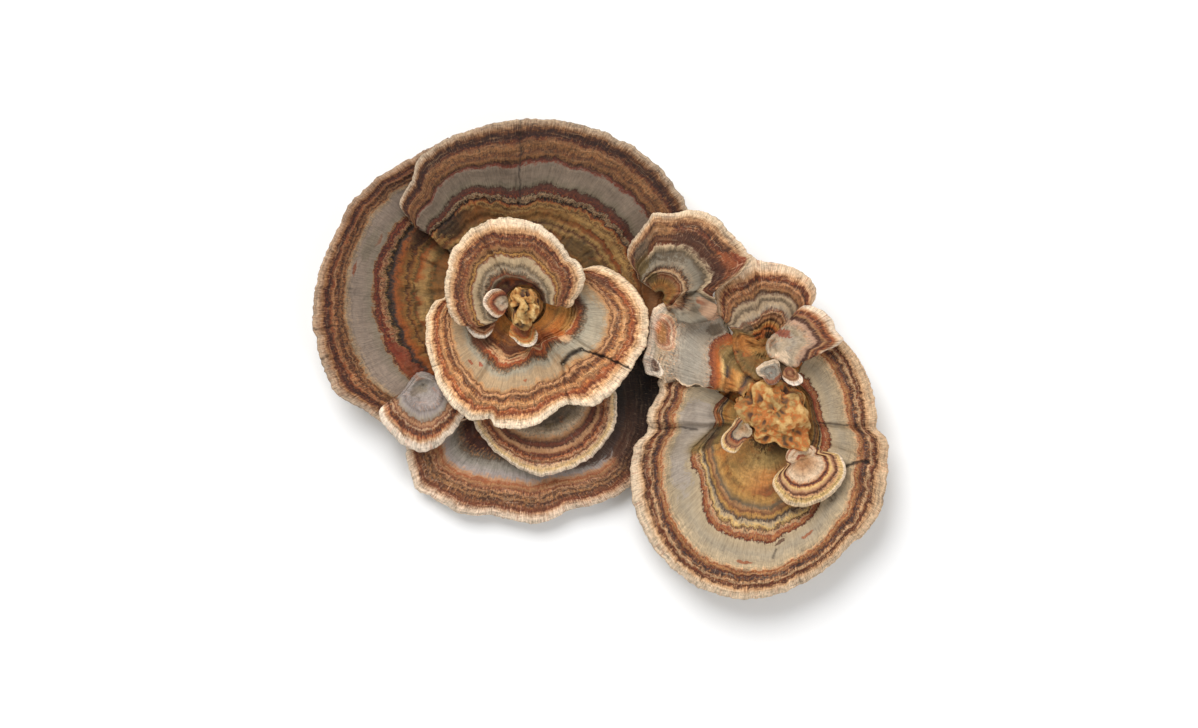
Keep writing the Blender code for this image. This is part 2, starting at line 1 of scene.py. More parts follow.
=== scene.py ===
import math
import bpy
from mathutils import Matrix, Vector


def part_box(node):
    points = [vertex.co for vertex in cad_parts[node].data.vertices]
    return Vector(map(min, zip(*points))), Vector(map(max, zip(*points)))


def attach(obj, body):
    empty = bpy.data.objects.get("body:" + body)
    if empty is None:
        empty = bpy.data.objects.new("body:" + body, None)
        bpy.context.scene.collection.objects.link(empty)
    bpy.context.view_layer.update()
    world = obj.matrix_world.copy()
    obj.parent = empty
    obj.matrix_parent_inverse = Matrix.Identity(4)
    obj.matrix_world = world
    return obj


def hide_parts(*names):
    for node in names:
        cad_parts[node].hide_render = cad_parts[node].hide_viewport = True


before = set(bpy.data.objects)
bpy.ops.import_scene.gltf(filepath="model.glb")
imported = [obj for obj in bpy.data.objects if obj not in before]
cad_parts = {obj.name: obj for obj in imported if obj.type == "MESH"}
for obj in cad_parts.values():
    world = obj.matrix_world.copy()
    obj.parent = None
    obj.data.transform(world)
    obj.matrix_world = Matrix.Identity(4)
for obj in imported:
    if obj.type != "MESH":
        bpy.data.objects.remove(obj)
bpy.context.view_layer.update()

from types import SimpleNamespace
import bpy
import numpy as np
from mathutils import Vector, kdtree, noise

mm = 0.001
print("frame loaded,", len(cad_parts), "nodes")

# colours, as seen on the skin
palette = {
    "white": (250, 232, 210), "ivory": (232, 202, 168), "cream": (216, 174, 134), "tan": (196, 144, 102),
    "sand": (178, 128, 84), "yellow": (228, 188, 122), "gold": (196, 146, 80), "ochre": (176, 114, 52),
    "orange": (196, 108, 44), "rust": (158, 84, 46), "redRust": (146, 62, 34), "brown": (128, 80, 50),
    "redBrown": (122, 62, 38), "darkBrown": (86, 50, 34), "black": (40, 28, 22), "indigo": (66, 54, 54),
    "greyBeige": (192, 168, 138), "grey": (172, 156, 136), "greyBlue": (156, 147, 133),
    "greyCool": (174, 160, 152), "greyDark": (108, 92, 74), "dun": (166, 140, 112), "olive": (126, 102, 56),
    "maroon": (76, 38, 26), "pink": (206, 162, 132), "pore": (228, 206, 172)}
skinLight = 1.15  # how much brighter the lamps show a colour that lies flat


def linear(name):
    return tuple(((c / 255 + 0.055) / 1.055) ** 2.4 / skinLight for c in palette[name])


def brightness(name):
    return sum(share * c for share, c in zip((0.3, 0.59, 0.11), palette[name])) / 255


# the two stems: profiles as (height, radius), reaches as (bearing, radius), in mm
stemGap = 0.6
knob = dict(
    axis=(-19.2, 14.2), top=32.4,
    stem=[(0.0, 13.5), (1.0, 12.8), (2.2, 10.4), (3.2, 8.8), (5.0, 7.4), (10.0, 6.0), (16.0, 5.0),
          (21.0, 4.2), (25.0, 3.4)],
    head=[(26.6, 0.72), (28.4, 1.0), (30.2, 0.92), (31.6, 0.58)],
    reach=[(-146, 3.5), (-129, 5), (-110, 6.5), (-75, 7), (-66, 5.5), (-40, 5), (0, 3.5), (37, 4), (105, 4),
           (123, 4.5), (180, 3.5)],
    fine=(130, 120), seed=1.0, lowShare=0.5, warm=0.15, pits=0.9, lumps=(0.7, 0.6, 0.6, 0.3),
    tones=[(0.2, "black"), (0.33, "olive"), (0.46, "ochre"), (0.58, "gold"), (0.74, "yellow"),
           (0.95, "ivory")])
core = dict(
    axis=(45.6, -13.2), top=17.4,
    stem=[(0.0, 15.0), (1.2, 13.8), (2.4, 10.6), (3.6, 8.4), (5.5, 7.3), (8.0, 7.0)],
    head=[(10.6, 0.9), (12.4, 1.0), (14.2, 0.97), (15.8, 0.78), (17.0, 0.45)],
    reach=[(-170, 7), (-139, 7), (-124, 8.5), (-88, 7), (-71, 9), (-54, 10.5), (-40, 11.5), (-6, 8),
           (26, 7.2), (110, 7.5), (162, 8)],
    grown=[(-170, 9), (-139, 8), (-124, 9.5), (-88, 8), (-71, 10), (-54, 12.5), (-44, 13), (-30, 10),
           (-6, 8.5), (26, 8), (110, 9), (140, 10.5), (165, 10.5)],
    fine=(190, 140), seed=5.0, lowShare=0.3, warm=0.45, pits=0.16, lumps=(2.5, 0.65, 0.3, 0.14),
    tones=[(0.10, "darkBrown"), (0.28, "olive"), (0.40, "ochre"), (0.50, "orange"), (0.58, "gold"),
           (0.78, "yellow"), (1.0, "ivory")])
stems = {"left_stem_knob": knob, "right_stem_core": core}
footLow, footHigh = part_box("left_stem_knob")
shiftX = (footLow.x + footHigh.x) / 2 / mm - knob["axis"][0]
shiftY = (footLow.y + footHigh.y) / 2 / mm - knob["axis"][1]


def lined(points, at):
    return float(np.interp(at, [p[0] for p in points], [p[1] for p in points]))


def smoothReach(points, bearing, closed):
    # smooth curve through (bearing, value) points; a closed one runs on past 180 degrees
    if closed:
        points = [(b - 360, r) for b, r in points[-3:]] + points + [(b + 360, r) for b, r in points[:3]]
        bearing = (bearing + 180) % 360 - 180
    last = len(points) - 1
    bearing = min(max(bearing, points[0][0]), points[last][0])
    k = 0
    while k < last - 1 and bearing > points[k + 1][0]:
        k += 1
    slopes = []
    for i in (k, k + 1):
        before, after = points[max(i - 1, 0)], points[min(i + 1, last)]
        slopes.append((after[1] - before[1]) / (after[0] - before[0]))
    (a, low), (b, high) = points[k], points[k + 1]
    t = (bearing - a) / (b - a)
    t2, t3 = t * t, t * t * t
    pull = (b - a) * ((t3 - 2 * t2 + t) * slopes[0] + (t3 - t2) * slopes[1])
    return (2 * t3 - 3 * t2 + 1) * low + (3 * t2 - 2 * t3) * high + pull


def along(spec, key, fan, usual):
    # a value that changes with the bearing, or the usual one all round
    if key not in spec:
        return np.full(len(fan.bearings), usual)
    return np.array([smoothReach(spec[key], b, fan.closed) for b in fan.bearings])


def stemRadius(stem, height, bearing, stemOnly):
    if height > stem["stem"][-1][0] and not stemOnly:
        return max(smoothReach(stem["reach"], bearing, True), stem["stem"][-1][1])
    return lined(stem["stem"], height)


def offStem(spec, x, y):
    if "clearOf" not in spec:
        return True
    stem = stems[spec["clearOf"]]
    bearing = math.degrees(math.atan2(y - stem["axis"][1], x - stem["axis"][0]))
    stemOnly = spec.get("stemOnly", False)
    radius = max(stemRadius(stem, z, bearing, stemOnly) for z in spec["stemLevels"])
    return math.hypot(x - stem["axis"][0], y - stem["axis"][1]) > radius + stemGap


def reaches(spec, bearing):
    # where a cap starts, its inner line and its margin, as distances from its centre
    closed = spec["span"] is None
    step = 0.1
    margin = smoothReach(spec["margin"], bearing, closed)
    start = 0.0 if closed else spec.get("hub", 1.0)
    cosine, sine = math.cos(math.radians(bearing)), math.sin(math.radians(bearing))
    cx, cy = spec["centre"]
    if closed:
        r = 0.5
        while r < margin and offStem(spec, cx + r * cosine, cy + r * sine):
            r += step
        margin = min(margin, r)
    else:
        while not offStem(spec, cx + start * cosine, cy + start * sine):
            start += step
    inner = smoothReach(spec["inner"], bearing, closed) if spec["inner"] else start + (margin - start) * 0.5
    inner = min(max(inner, start + 0.8), max(margin - 1.5, (start + margin) / 2))
    return start, inner, margin


def radiusAt(start, inner, margin, out):
    # out is 0 at the hub, 0.5 on the inner line and 1 on the margin
    return np.where(out < 0.5, start + (inner - start) * out / 0.5,
                    inner + (margin - inner) * (out - 0.5) / 0.5)


def coarseBearings(spec):
    # the bearings of the solid's own columns
    low, high = spec["span"] or (-180.0, 180.0)
    step = (high - low) / spec["columns"]
    bearings = [low + step * i for i in range(spec["columns"] + 1)]
    marks = [(b, (-1.0, 1.0)) for b in spec.get("folds", [])]
    marks += [(b, (-2.5, 0.0, 2.5)) for b in spec.get("splits", [])]
    for mark, sides in marks:
        bearings = [b for b in bearings if abs(b - mark) > 3.2 or b in (low, high)]
        bearings += [mark + side for side in sides if low < mark + side < high]
    return sorted(bearings)


bigZones = [0, 0.2, 0.38, 0.5, 0.62, 0.74, 0.85, 0.94, 1]
midZones = [0, 0.25, 0.5, 0.64, 0.78, 0.9, 1]
smallZones = [0, 0.35, 0.6, 0.82, 1]


def cadTops(name, spec, bearings):
    # height of the solid's upper side at each of its own mesh points, in mm
    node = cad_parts[name]
    tree = kdtree.KDTree(len(node.data.vertices))
    for i, vert in enumerate(node.data.vertices):
        tree.insert((vert.co.x, vert.co.y, 0), i)
    tree.balance()
    tops = np.zeros((len(bearings), len(spec["zones"])))
    for i, bearing in enumerate(bearings):
        edges = reaches(spec, bearing)
        cosine, sine = math.cos(math.radians(bearing)), math.sin(math.radians(bearing))
        for j, out in enumerate(spec["zones"]):
            r = float(radiusAt(*edges, out))
            x = (spec["centre"][0] + r * cosine + shiftX) * mm
            y = (spec["centre"][1] + r * sine + shiftY) * mm
            near = tree.find_range((x, y, 0), 0.0001) or [tree.find((x, y, 0))]
            tops[i, j] = max(node.data.vertices[k].co.z for _, k, _ in near) / mm
    return tops


def smoothAlong(places, values, at):
    # cubic curve through rows of values, one row for each place
    places, at = np.asarray(places, float), np.asarray(at, float)
    slope = np.gradient(values, places, axis=0)
    k = np.clip(np.searchsorted(places, at) - 1, 0, len(places) - 2)
    width = places[k + 1] - places[k]
    t = np.clip((at - places[k]) / width, 0, 1)[:, None]
    width = width[:, None]
    return ((2 * t**3 - 3 * t**2 + 1) * values[k] + (t**3 - 2 * t**2 + t) * width * slope[k]
            + (3 * t**2 - 2 * t**3) * values[k + 1] + (t**3 - t**2) * width * slope[k + 1])


def deselectAll():
    bpy.ops.object.select_all(action="DESELECT")


def noiseAt(x, y, z):
    return noise.noise(Vector((x, y, z)))


def layered(x, y, seed, layers, out=0.0):
    # layers of noise as (fineness, height, offset, change on the way out)
    return sum(height * noiseAt(x * fineness, y * fineness, seed + offset + out * change)
               for fineness, height, offset, change in layers)


def pathDistance(path, x, y):
    # distance in mm from points to a line of points
    best = np.full(x.shape, 1e9)
    for (ax, ay), (bx, by) in zip(path, path[1:]):
        dx, dy = bx - ax, by - ay
        t = np.clip(((x - ax) * dx + (y - ay) * dy) / (dx * dx + dy * dy), 0, 1)
        best = np.minimum(best, np.hypot(x - ax - t * dx, y - ay - t * dy))
    return best


denseStep = dict(perDegree=4, perOut=100)  # how finely the solid's upper side is read
raggedLayers = [(0.28, 0.45, 0, 0), (0.8, 0.3, 3, 0), (1.9, 0.18, 5, 0)]  # the margin, in mm
edgeWave = [(0.22, 0.016, 0, 2.2)]                                        # the zones, long and short
localWave = [(0.8, 0.009, 9, 3), (2.2, 0.005, 19, 5)]
crimpLayers = [(0.9, 0.17, 31, 1.2)]                                      # the swellings, in mm
hairLayers = [(2.4, 0.08, 41, 2.0)]
moundLayers = [(0.35, 0.16, 51, 0)]


def drawFan(name, spec):
    # edges of the skin at every fine bearing, and a fine table of the solid's heights
    fan = SimpleNamespace(closed=spec["span"] is None, seed=spec["seed"] * 7.3, coarse=coarseBearings(spec))
    fan.low, fan.high = spec.get("drawn") or spec["span"] or (-180.0, 180.0)
    fan.count, fan.rows, fan.backRows = spec["fine"]
    fan.bearings = np.linspace(fan.low, fan.high, fan.count + 1)
    fan.outs = 1 - (1 - np.linspace(0, 1, fan.rows + 1)) ** 1.15
    roughness = spec.get("ragged", 0.4 if spec["slot"] == "young_skin" else 1.0)
    edges = []
    for b in fan.bearings:
        start, inner, margin = reaches(spec, b)
        c, s = math.cos(math.radians(b)), math.sin(math.radians(b))
        ragged = layered(c * margin, s * margin, fan.seed, raggedLayers) * roughness
        hold = 1.0 if fan.closed else min(1.0, abs(b - fan.low) / 4, abs(fan.high - b) / 4)
        edges.append((start, inner, margin + ragged * hold - 0.1))
    fan.start, fan.inner, fan.margin = np.array(edges).T
    if fan.closed:
        for edge in (fan.start, fan.inner, fan.margin):
            edge[-1] = edge[0]
    fan.solid = fan.margin.copy()
    first, last = fan.coarse[0], fan.coarse[-1]
    if "grown" in spec:
        plain = np.array([reaches(spec, min(max(b, first), last))[2] for b in fan.bearings])
        fan.margin = along(spec, "grown", fan, 0) + fan.margin - plain
    fineBearings = np.linspace(first, last, int((last - first) * denseStep["perDegree"]) + 1)
    fineOuts = np.linspace(0, 1, denseStep["perOut"] + 1)
    byOut = smoothAlong(spec["zones"], cadTops(name, spec, fan.coarse).T, fineOuts).T
    fan.dense = smoothAlong(fan.coarse, byOut, fineBearings)
    return fan


def spreadOut(fan, out):
    return radiusAt(fan.start[:, None], fan.inner[:, None], fan.margin[:, None], out)


def turnAt(spec, fan, r):
    # bearings in radians; the two ends of an open fan waver
    turn = np.radians(fan.bearings)[:, None] + 0 * r
    if fan.closed:
        return turn
    ends = np.clip(1 - np.minimum(fan.bearings - fan.low, fan.high - fan.bearings) / 5, 0, 1)[:, None]
    places = np.linspace(0, 60, 241)
    waver = np.array([noiseAt(place * 0.35, 3.0, fan.seed + 71) + 0.5 * noiseAt(place, 5.0, fan.seed + 73)
                      for place in places])
    return turn + ends * np.interp(r, places, waver) * spec.get("waver", 0.9) / np.maximum(r, 4)


def smoothTop(spec, fan, r, out, bearing):
    # the solid's upper side between its mesh points, with the lift of a skin that is wider, and the droop
    inner, start, solid = fan.inner[:, None], fan.start[:, None], fan.solid[:, None]
    within = np.where(r < inner, (r - start) / (inner - start) * 0.5,
                      0.5 + (r - inner) / (solid - inner) * 0.5)
    column = np.clip((bearing - fan.coarse[0]) * denseStep["perDegree"], 0, fan.dense.shape[0] - 1.001)
    row = np.clip(np.clip(within, 0, 1) * denseStep["perOut"], 0, denseStep["perOut"] - 0.001)
    i, j = column.astype(int), row.astype(int)
    a, b = column - i, row - j
    z = ((fan.dense[i, j] * (1 - a) + fan.dense[i + 1, j] * a) * (1 - b)
         + (fan.dense[i, j + 1] * (1 - a) + fan.dense[i + 1, j + 1] * a) * b)
    past = np.clip((r - solid + 1.5) / 3.0, 0, 1) * (fan.margin[:, None] > solid + 0.5)
    z = z + spec.get("lift", 0.0) * past * past * (3 - 2 * past)
    return z + along(spec, "droop", fan, 0.0)[:, None] * np.clip(out * 4, 0, 1)


def wrinkleAt(spec, fan, x, y, c, s, out):
    # radial and cross wrinkles of the old zones, as (depth, painted shade in the wrinkle)
    aged = min(1.0, max(0.0, (0.5 - out) * 7)) * min(1.0, out * 6)
    if not spec.get("wrinkle") or aged <= 0:
        return 0.0, 0.0
    fold = 1 - 2.2 * abs(noiseAt(c * 9, s * 9, out * 3.0 + fan.seed + 81))
    cross = 1 - 2.2 * abs(noiseAt(x * 0.25, y * 0.25, fan.seed + 91))
    dip = max(0.0, 0.55 * fold + 0.45 * cross - 0.45)
    return aged * spec["wrinkle"] * dip, aged * min(1.0, dip * 1.5)


def growSkin(spec, fan, x, y, r):
    # slow waves of the zones, swellings of the skin in mm, and the painted shade of the wrinkles
    wave, swell, wrinkleShade = np.zeros_like(x), np.zeros_like(x), np.zeros_like(x)
    drift = along(spec, "drift", fan, 0.0)
    innerDrift = along(spec, "innerDrift", fan, 0.0)
    seed = fan.seed
    for i, b in enumerate(fan.bearings):
        if fan.closed and i == fan.count:
            b = fan.low
        c, s = math.cos(math.radians(b)), math.sin(math.radians(b))
        edgeX, edgeY = c * fan.margin[i], s * fan.margin[i]
        for j, out in enumerate(fan.outs):
            px, py, rr = x[i, j], y[i, j], r[i, j]
            bend = layered(edgeX, edgeY, seed, edgeWave, out) + layered(c * rr, s * rr, seed, localWave, out)
            bell = min(1.0, out * 2.5) * min(1.0, (1 - out) * 6)
            wave[i, j] = (bend + drift[i]) * bell + innerDrift[i] * math.exp(-((out - 0.46) / 0.13) ** 2)
            crimp = min(1.0, max(0.0, (out - 0.55) * 2.4))
            dip, wrinkleShade[i, j] = wrinkleAt(spec, fan, px, py, c, s, out)
            swell[i, j] = (crimp * layered(edgeX, edgeY, seed, crimpLayers, out)
                           + layered(edgeX, edgeY, seed, hairLayers, out)
                           + layered(px, py, seed, moundLayers) - dip)
    return wave, swell, wrinkleShade


def cutZones(spec, fan, out):
    # zones that a narrow or broken cap has lost: squeezed together, or cut off at the margin
    free = along(spec, "free", fan, 1.0)[:, None]
    if not spec.get("cutShort"):
        return out * free
    insideShare, outsideShare = np.minimum(1, 2 * free), np.maximum(0, 2 * free - 1)
    return np.minimum(out, 0.5) * insideShare + np.maximum(out - 0.5, 0) * outsideShare


def ringRelief(spec, zone):
    # pale zones stand a little above the dark ones, and a band can have a height of its own
    places = [band[0] for band in spec["bands"]]
    fineOuts = np.linspace(0, 1, 401)
    pale = np.interp(fineOuts, places, [brightness(band[1]) for band in spec["bands"]])
    broad = np.convolve(np.pad(pale, 20, "edge"), np.ones(41) / 41, "valid")
    relief = np.interp(zone, fineOuts, (pale - broad) * spec.get("ridge", 1.5))
    return relief + np.interp(zone, places, [band[2] for band in spec["bands"]])


def cutCracks(spec, fan, x, y, z, dark):
    # each crack is a path of (bearing, out) with a width and a depth in mm; its shade paints the groove
    # dark, painted shade in the crack
    for crack in spec.get("cracks", []):
        line = []
        for b, out in crack["path"]:
            r = float(radiusAt(*reaches(spec, b), out))
            line.append((spec["centre"][0] + r * math.cos(math.radians(b)),
                         spec["centre"][1] + r * math.sin(math.radians(b))))
        jag = np.vectorize(lambda px, py: noiseAt(px * 1.1, py * 1.1, fan.seed + 77))(x, y)
        groove = np.clip(1 - pathDistance(line, x + 0.35 * jag, y + 0.35 * jag) / crack["width"], 0, 1)
        z = z - crack["depth"] * np.minimum(1, groove * 1.6)
        dark = np.maximum(dark, np.clip(groove * 1.8, 0, 1) * crack.get("shade", 1.0))
    return z, dark


def growUpper(spec, fan):
    # upper side, rounded down at the margin
    out = np.tile(fan.outs, (fan.count + 1, 1))
    r = spreadOut(fan, out)
    turn = turnAt(spec, fan, r)
    x = spec["centre"][0] + r * np.cos(turn)
    y = spec["centre"][1] + r * np.sin(turn)
    bearing = fan.bearings[:, None] + 0 * r
    if not fan.closed:
        # the folds of an open fan wander a little from their bearings
        bend = np.array([[2.2 * noiseAt(rr * 0.22, b * 0.03, fan.seed + 61)
                          + 0.9 * noiseAt(rr * 0.8, b * 0.05, fan.seed + 63) for rr in line]
                         for b, line in zip(fan.bearings, r)])
        toEnd = np.minimum(abs(fan.bearings - fan.coarse[0]), abs(fan.coarse[-1] - fan.bearings))
        bearing = bearing + bend * np.minimum(toEnd / 6, 1)[:, None]
    wave, swell, wrinkleShade = growSkin(spec, fan, x, y, r)
    zone = cutZones(spec, fan, out + wave)
    z = smoothTop(spec, fan, r, out, bearing) + ringRelief(spec, zone) + swell * spec.get("rough", 1.0)
    z, dark = cutCracks(spec, fan, x, y, z, wrinkleShade * 0.55)
    lip = np.minimum(0.9, (fan.margin - fan.start) * 0.3)[:, None]
    into = np.clip((r - (fan.margin[:, None] - lip)) / lip, 0, 1)
    z = z - spec["thick"][1] * 0.5 * (1 - np.sqrt(np.maximum(0, 1 - into**2)))
    return dict(x=x, y=y, z=z, zone=zone, dark=dark, under=np.zeros_like(z))


def growUnder(spec, fan):
    # underside, from the margin back to the hub
    hubThick, rimThick = spec["thick"]
    half = rimThick * 0.5
    outs = 1 - np.linspace(0, 1, fan.backRows + 1)[1:] ** 1.3
    outs[-1] = 0
    out = np.tile(outs, (fan.count + 1, 1))
    r = spreadOut(fan, out)
    top = smoothTop(spec, fan, r, out, fan.bearings[:, None] + 0 * r)
    drop = hubThick + (rimThick - hubThick) * out
    curl = 0.25 * half * np.clip((r - (fan.margin[:, None] - 0.9)) / 0.9, 0, 1)
    drop[:, 0], curl[:, 0] = half * 1.65, 0
    r[:, 0] = fan.margin - 0.25
    turn = turnAt(spec, fan, r)
    x = spec["centre"][0] + r * np.cos(turn)
    y = spec["centre"][1] + r * np.sin(turn)
    return dict(x=x, y=y, z=top - drop + curl, zone=out, dark=np.zeros_like(r), under=np.ones_like(r))


def growBracket(name, spec):
    # one closed mesh: upper side, rounded margin, then back along the underside
    fan = drawFan(name, spec)
    upper, lower = growUpper(spec, fan), growUnder(spec, fan)
    sheet = {key: np.hstack([upper[key], lower[key]]) for key in upper}
    if not fan.closed:
        # the last row comes back to the first one, which closes the hub
        sheet = {key: np.hstack([value, value[:, :1]]) for key, value in sheet.items()}
    total = sheet["x"].shape[1]
    spec["perZone"] = float(2 * np.mean(fan.margin - fan.inner))

    deselectAll()
    bpy.ops.mesh.primitive_grid_add(x_subdivisions=fan.count, y_subdivisions=total - 1, size=2)
    piece = bpy.context.object
    piece.name = piece.data.name = name.replace("_bracket", "").replace("_cap", "") + "_skin"
    flat = meshPoints(piece)
    i = np.rint((flat[:, 0] + 1) / 2 * fan.count).astype(int)
    j = np.rint((flat[:, 1] + 1) / 2 * (total - 1)).astype(int)
    if fan.closed:
        i = np.where(i == fan.count, 0, i)
    x, y, z = (sheet["x"][i, j] + shiftX) * mm, (sheet["y"][i, j] + shiftY) * mm, sheet["z"][i, j] * mm
    points = np.stack([x, y, z], axis=1)
    if fan.closed:
        centreX, centreY = (spec["centre"][0] + shiftX) * mm, (spec["centre"][1] + shiftY) * mm
        for row in (0, total - 1):
            points[j == row] = (centreX, centreY, sheet["z"][:, row].mean() * mm)
    piece.data.vertices.foreach_set("co", points.ravel())
    for key in ("zone", "under", "dark"):
        store(piece, key, sheet[key][i, j])
    store(piece, "pale", along(spec, "pale", fan, 0.4)[i])
    store(piece, "light", along(spec, "light", fan, 1.0)[i])
    zone = sheet["zone"][i, j]
    span, turn = float(fan.margin.max()), np.radians(fan.bearings)[i]
    across = (zone - 1) * spec["perZone"] + span
    unrolled = np.stack([np.cos(turn) * span, np.sin(turn) * span, across], axis=1)
    layer = piece.data.attributes.new("fan", "FLOAT_VECTOR", "POINT")
    layer.data.foreach_set("vector", unrolled.ravel())
    paintStainsAndShade(piece, spec, fan.bearings[i], zone, sheet["under"][i, j])
    piece.data.update()
    bpy.ops.object.mode_set(mode="EDIT")
    bpy.ops.mesh.select_all(action="SELECT")
    bpy.ops.mesh.remove_doubles(threshold=0.000001)
    if not fan.closed:
        bpy.ops.mesh.select_all(action="SELECT")
        bpy.ops.mesh.fill_holes(sides=0)
    bpy.ops.mesh.select_all(action="SELECT")
    bpy.ops.mesh.normals_make_consistent(inside=False)
    bpy.ops.object.mode_set(mode="OBJECT")
    bpy.ops.object.shade_smooth()
    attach(piece, "root")
    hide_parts(name)
    return piece


def meshPoints(piece):
    flat = np.zeros(len(piece.data.vertices) * 3)
    piece.data.vertices.foreach_get("co", flat)
    return flat.reshape(-1, 3)


def store(piece, name, values):
    layer = piece.data.attributes.new(name, "FLOAT", "POINT")
    layer.data.foreach_set("value", np.asarray(values, float))


def paintStainsAndShade(piece, spec, bearing, zone, under):
    # patches listed one by one: bearing, out, half widths in degrees and out, colour, strength, edge; most
    # are stains, some dark ones are painted shade under other caps
    colour = np.zeros((len(zone), 4))
    for at, out, wide, deep, name, strength, *edge in spec.get("stainsAndShade", []):
        turn = (bearing - at + 180) % 360 - 180
        reach = np.hypot(turn / wide, (zone - out) / deep)
        share = np.clip(0.5 + (1 - reach) * (edge[0] if edge else 1.0), 0, 1) * strength * (under < 0.5)
        rest = colour[:, 3] * (1 - share)
        total = np.maximum(share + rest, 1e-6)
        added = np.array(linear(name)) * share[:, None]
        colour[:, :3] = (colour[:, :3] * rest[:, None] + added) / total[:, None]
        colour[:, 3] = share + rest
    layer = piece.data.attributes.new("stain", "FLOAT_COLOR", "POINT")
    layer.data.foreach_set("color", colour.ravel())


# shader maths: a wire stands for a socket, and an expression adds its nodes
class Wire:
    def __init__(self, graph, socket):
        self.graph, self.socket = graph, socket

    def maths(self, operation, other):
        return self.graph.put("ShaderNodeMath", dict(operation=operation), {0: self, 1: other})

    def __add__(self, other):
        return self.maths("ADD", other)

    __radd__ = __add__

    def __sub__(self, other):
        return self.maths("SUBTRACT", other)

    def __rsub__(self, other):
        return self.graph.put("ShaderNodeMath", dict(operation="SUBTRACT"), {0: other, 1: self})

    def __mul__(self, other):
        return self.maths("MULTIPLY", other)

    __rmul__ = __mul__

    def between(self, low, high):
        # 0 below low, 1 above high, eased
        return self.graph.put("ShaderNodeMapRange", dict(interpolation_type="SMOOTHSTEP"),
                              {"Value": self, "From Min": low, "From Max": high})


class Graph:
    def __init__(self, name):
        self.material = bpy.data.materials.new(name)
        self.material.use_nodes = True
        self.tree = self.material.node_tree
        self.shader = self.tree.nodes["Principled BSDF"]

    def put(self, kind, settings=None, values=None, out=0):
        node = self.tree.nodes.new(kind)
        for key, value in (settings or {}).items():
            if key == "stops":
                ramp = node.color_ramp
                ramp.interpolation = "LINEAR"
                while len(ramp.elements) > 1:
                    ramp.elements.remove(ramp.elements[-1])
                ramp.elements[0].position, ramp.elements[0].color = value[0][0], (*value[0][1], 1)
                for place, colour in value[1:]:
                    ramp.elements.new(place).color = (*colour, 1)
            else:
                setattr(node, key, value)
        for key, value in (values or {}).items():
            self.plug(node.inputs[key], value)
        return Wire(self, node.outputs[out])

    def plug(self, socket, value):
        if isinstance(value, Wire):
            self.tree.links.new(value.socket, socket)
        else:
            socket.default_value = value

    def read(self, name, out="Fac"):
        return self.put("ShaderNodeAttribute", dict(attribute_name=name), out=out)

    def scaled(self, vector, by):
        return self.put("ShaderNodeVectorMath", dict(operation="MULTIPLY"), {0: vector, 1: by})

    def cloud(self, vector, scale, detail, rough):
        return self.put("ShaderNodeTexNoise", dict(noise_dimensions="3D"),
                        {"Vector": vector, "Scale": scale, "Detail": detail, "Roughness": rough})

    def mix(self, a, b, factor):
        node = self.tree.nodes.new("ShaderNodeMix")
        node.data_type, node.clamp_result = "RGBA", False
        self.plug(node.inputs[0], factor)
        for socket, value in ((node.inputs[6], a), (node.inputs[7], b)):
            self.plug(socket, value if isinstance(value, Wire) else (*value, 1))
        return Wire(self, node.outputs[2])

    def finish(self, colour, roughness, height, strength, distance):
        self.plug(self.shader.inputs["Base Color"], colour)
        self.plug(self.shader.inputs["Roughness"], roughness)
        bump = self.put("ShaderNodeBump", {}, {"Strength": strength, "Distance": distance, "Height": height})
        self.plug(self.shader.inputs["Normal"], bump)
        return self.material


def bandColour(g, place, bands):
    # two ramps, one for each half, because a ramp holds 32 colours
    places = [b[0] for b in bands]
    middle = tuple(float(np.interp(0.5, places, [linear(b[1])[k] for b in bands])) for k in range(3))
    inside = [(b[0] * 2, linear(b[1])) for b in bands if b[0] < 0.5] + [(1.0, middle)]
    outside = [(0.0, middle)] + [(b[0] * 2 - 1, linear(b[1])) for b in bands if b[0] > 0.5]
    a = g.put("ShaderNodeValToRGB", dict(stops=inside), {0: place * 2.0})
    b = g.put("ShaderNodeValToRGB", dict(stops=outside), {0: place * 2.0 - 1.0})
    return g.mix(a, b, place.maths("GREATER_THAN", 0.5))


# noise on the unrolled fan: fineness along the zones (twice) and across them, detail, roughness
grain = dict(
    fibre=((1.5, 1.5, 0.30), 4.0, 0.62),    # radial, long
    dash=((3.2, 3.2, 0.9), 3.0, 0.6),       # radial, short
    ring=((0.10, 0.10, 2.4), 4.0, 0.65),    # along the zones, long
    streak=((0.45, 0.45, 1.7), 5.0, 0.68),  # along the zones, short
    speck=((1.5, 1.5, 1.9), 2.0, 0.5),      # small dots
    scratch=((3.4, 3.4, 0.35), 3.0, 0.6))   # fine radial lines
poreScale = 2600.0
skinBump = dict(strength=0.8, distance=0.0005)
fleshBump = dict(strength=0.9, distance=0.0005)


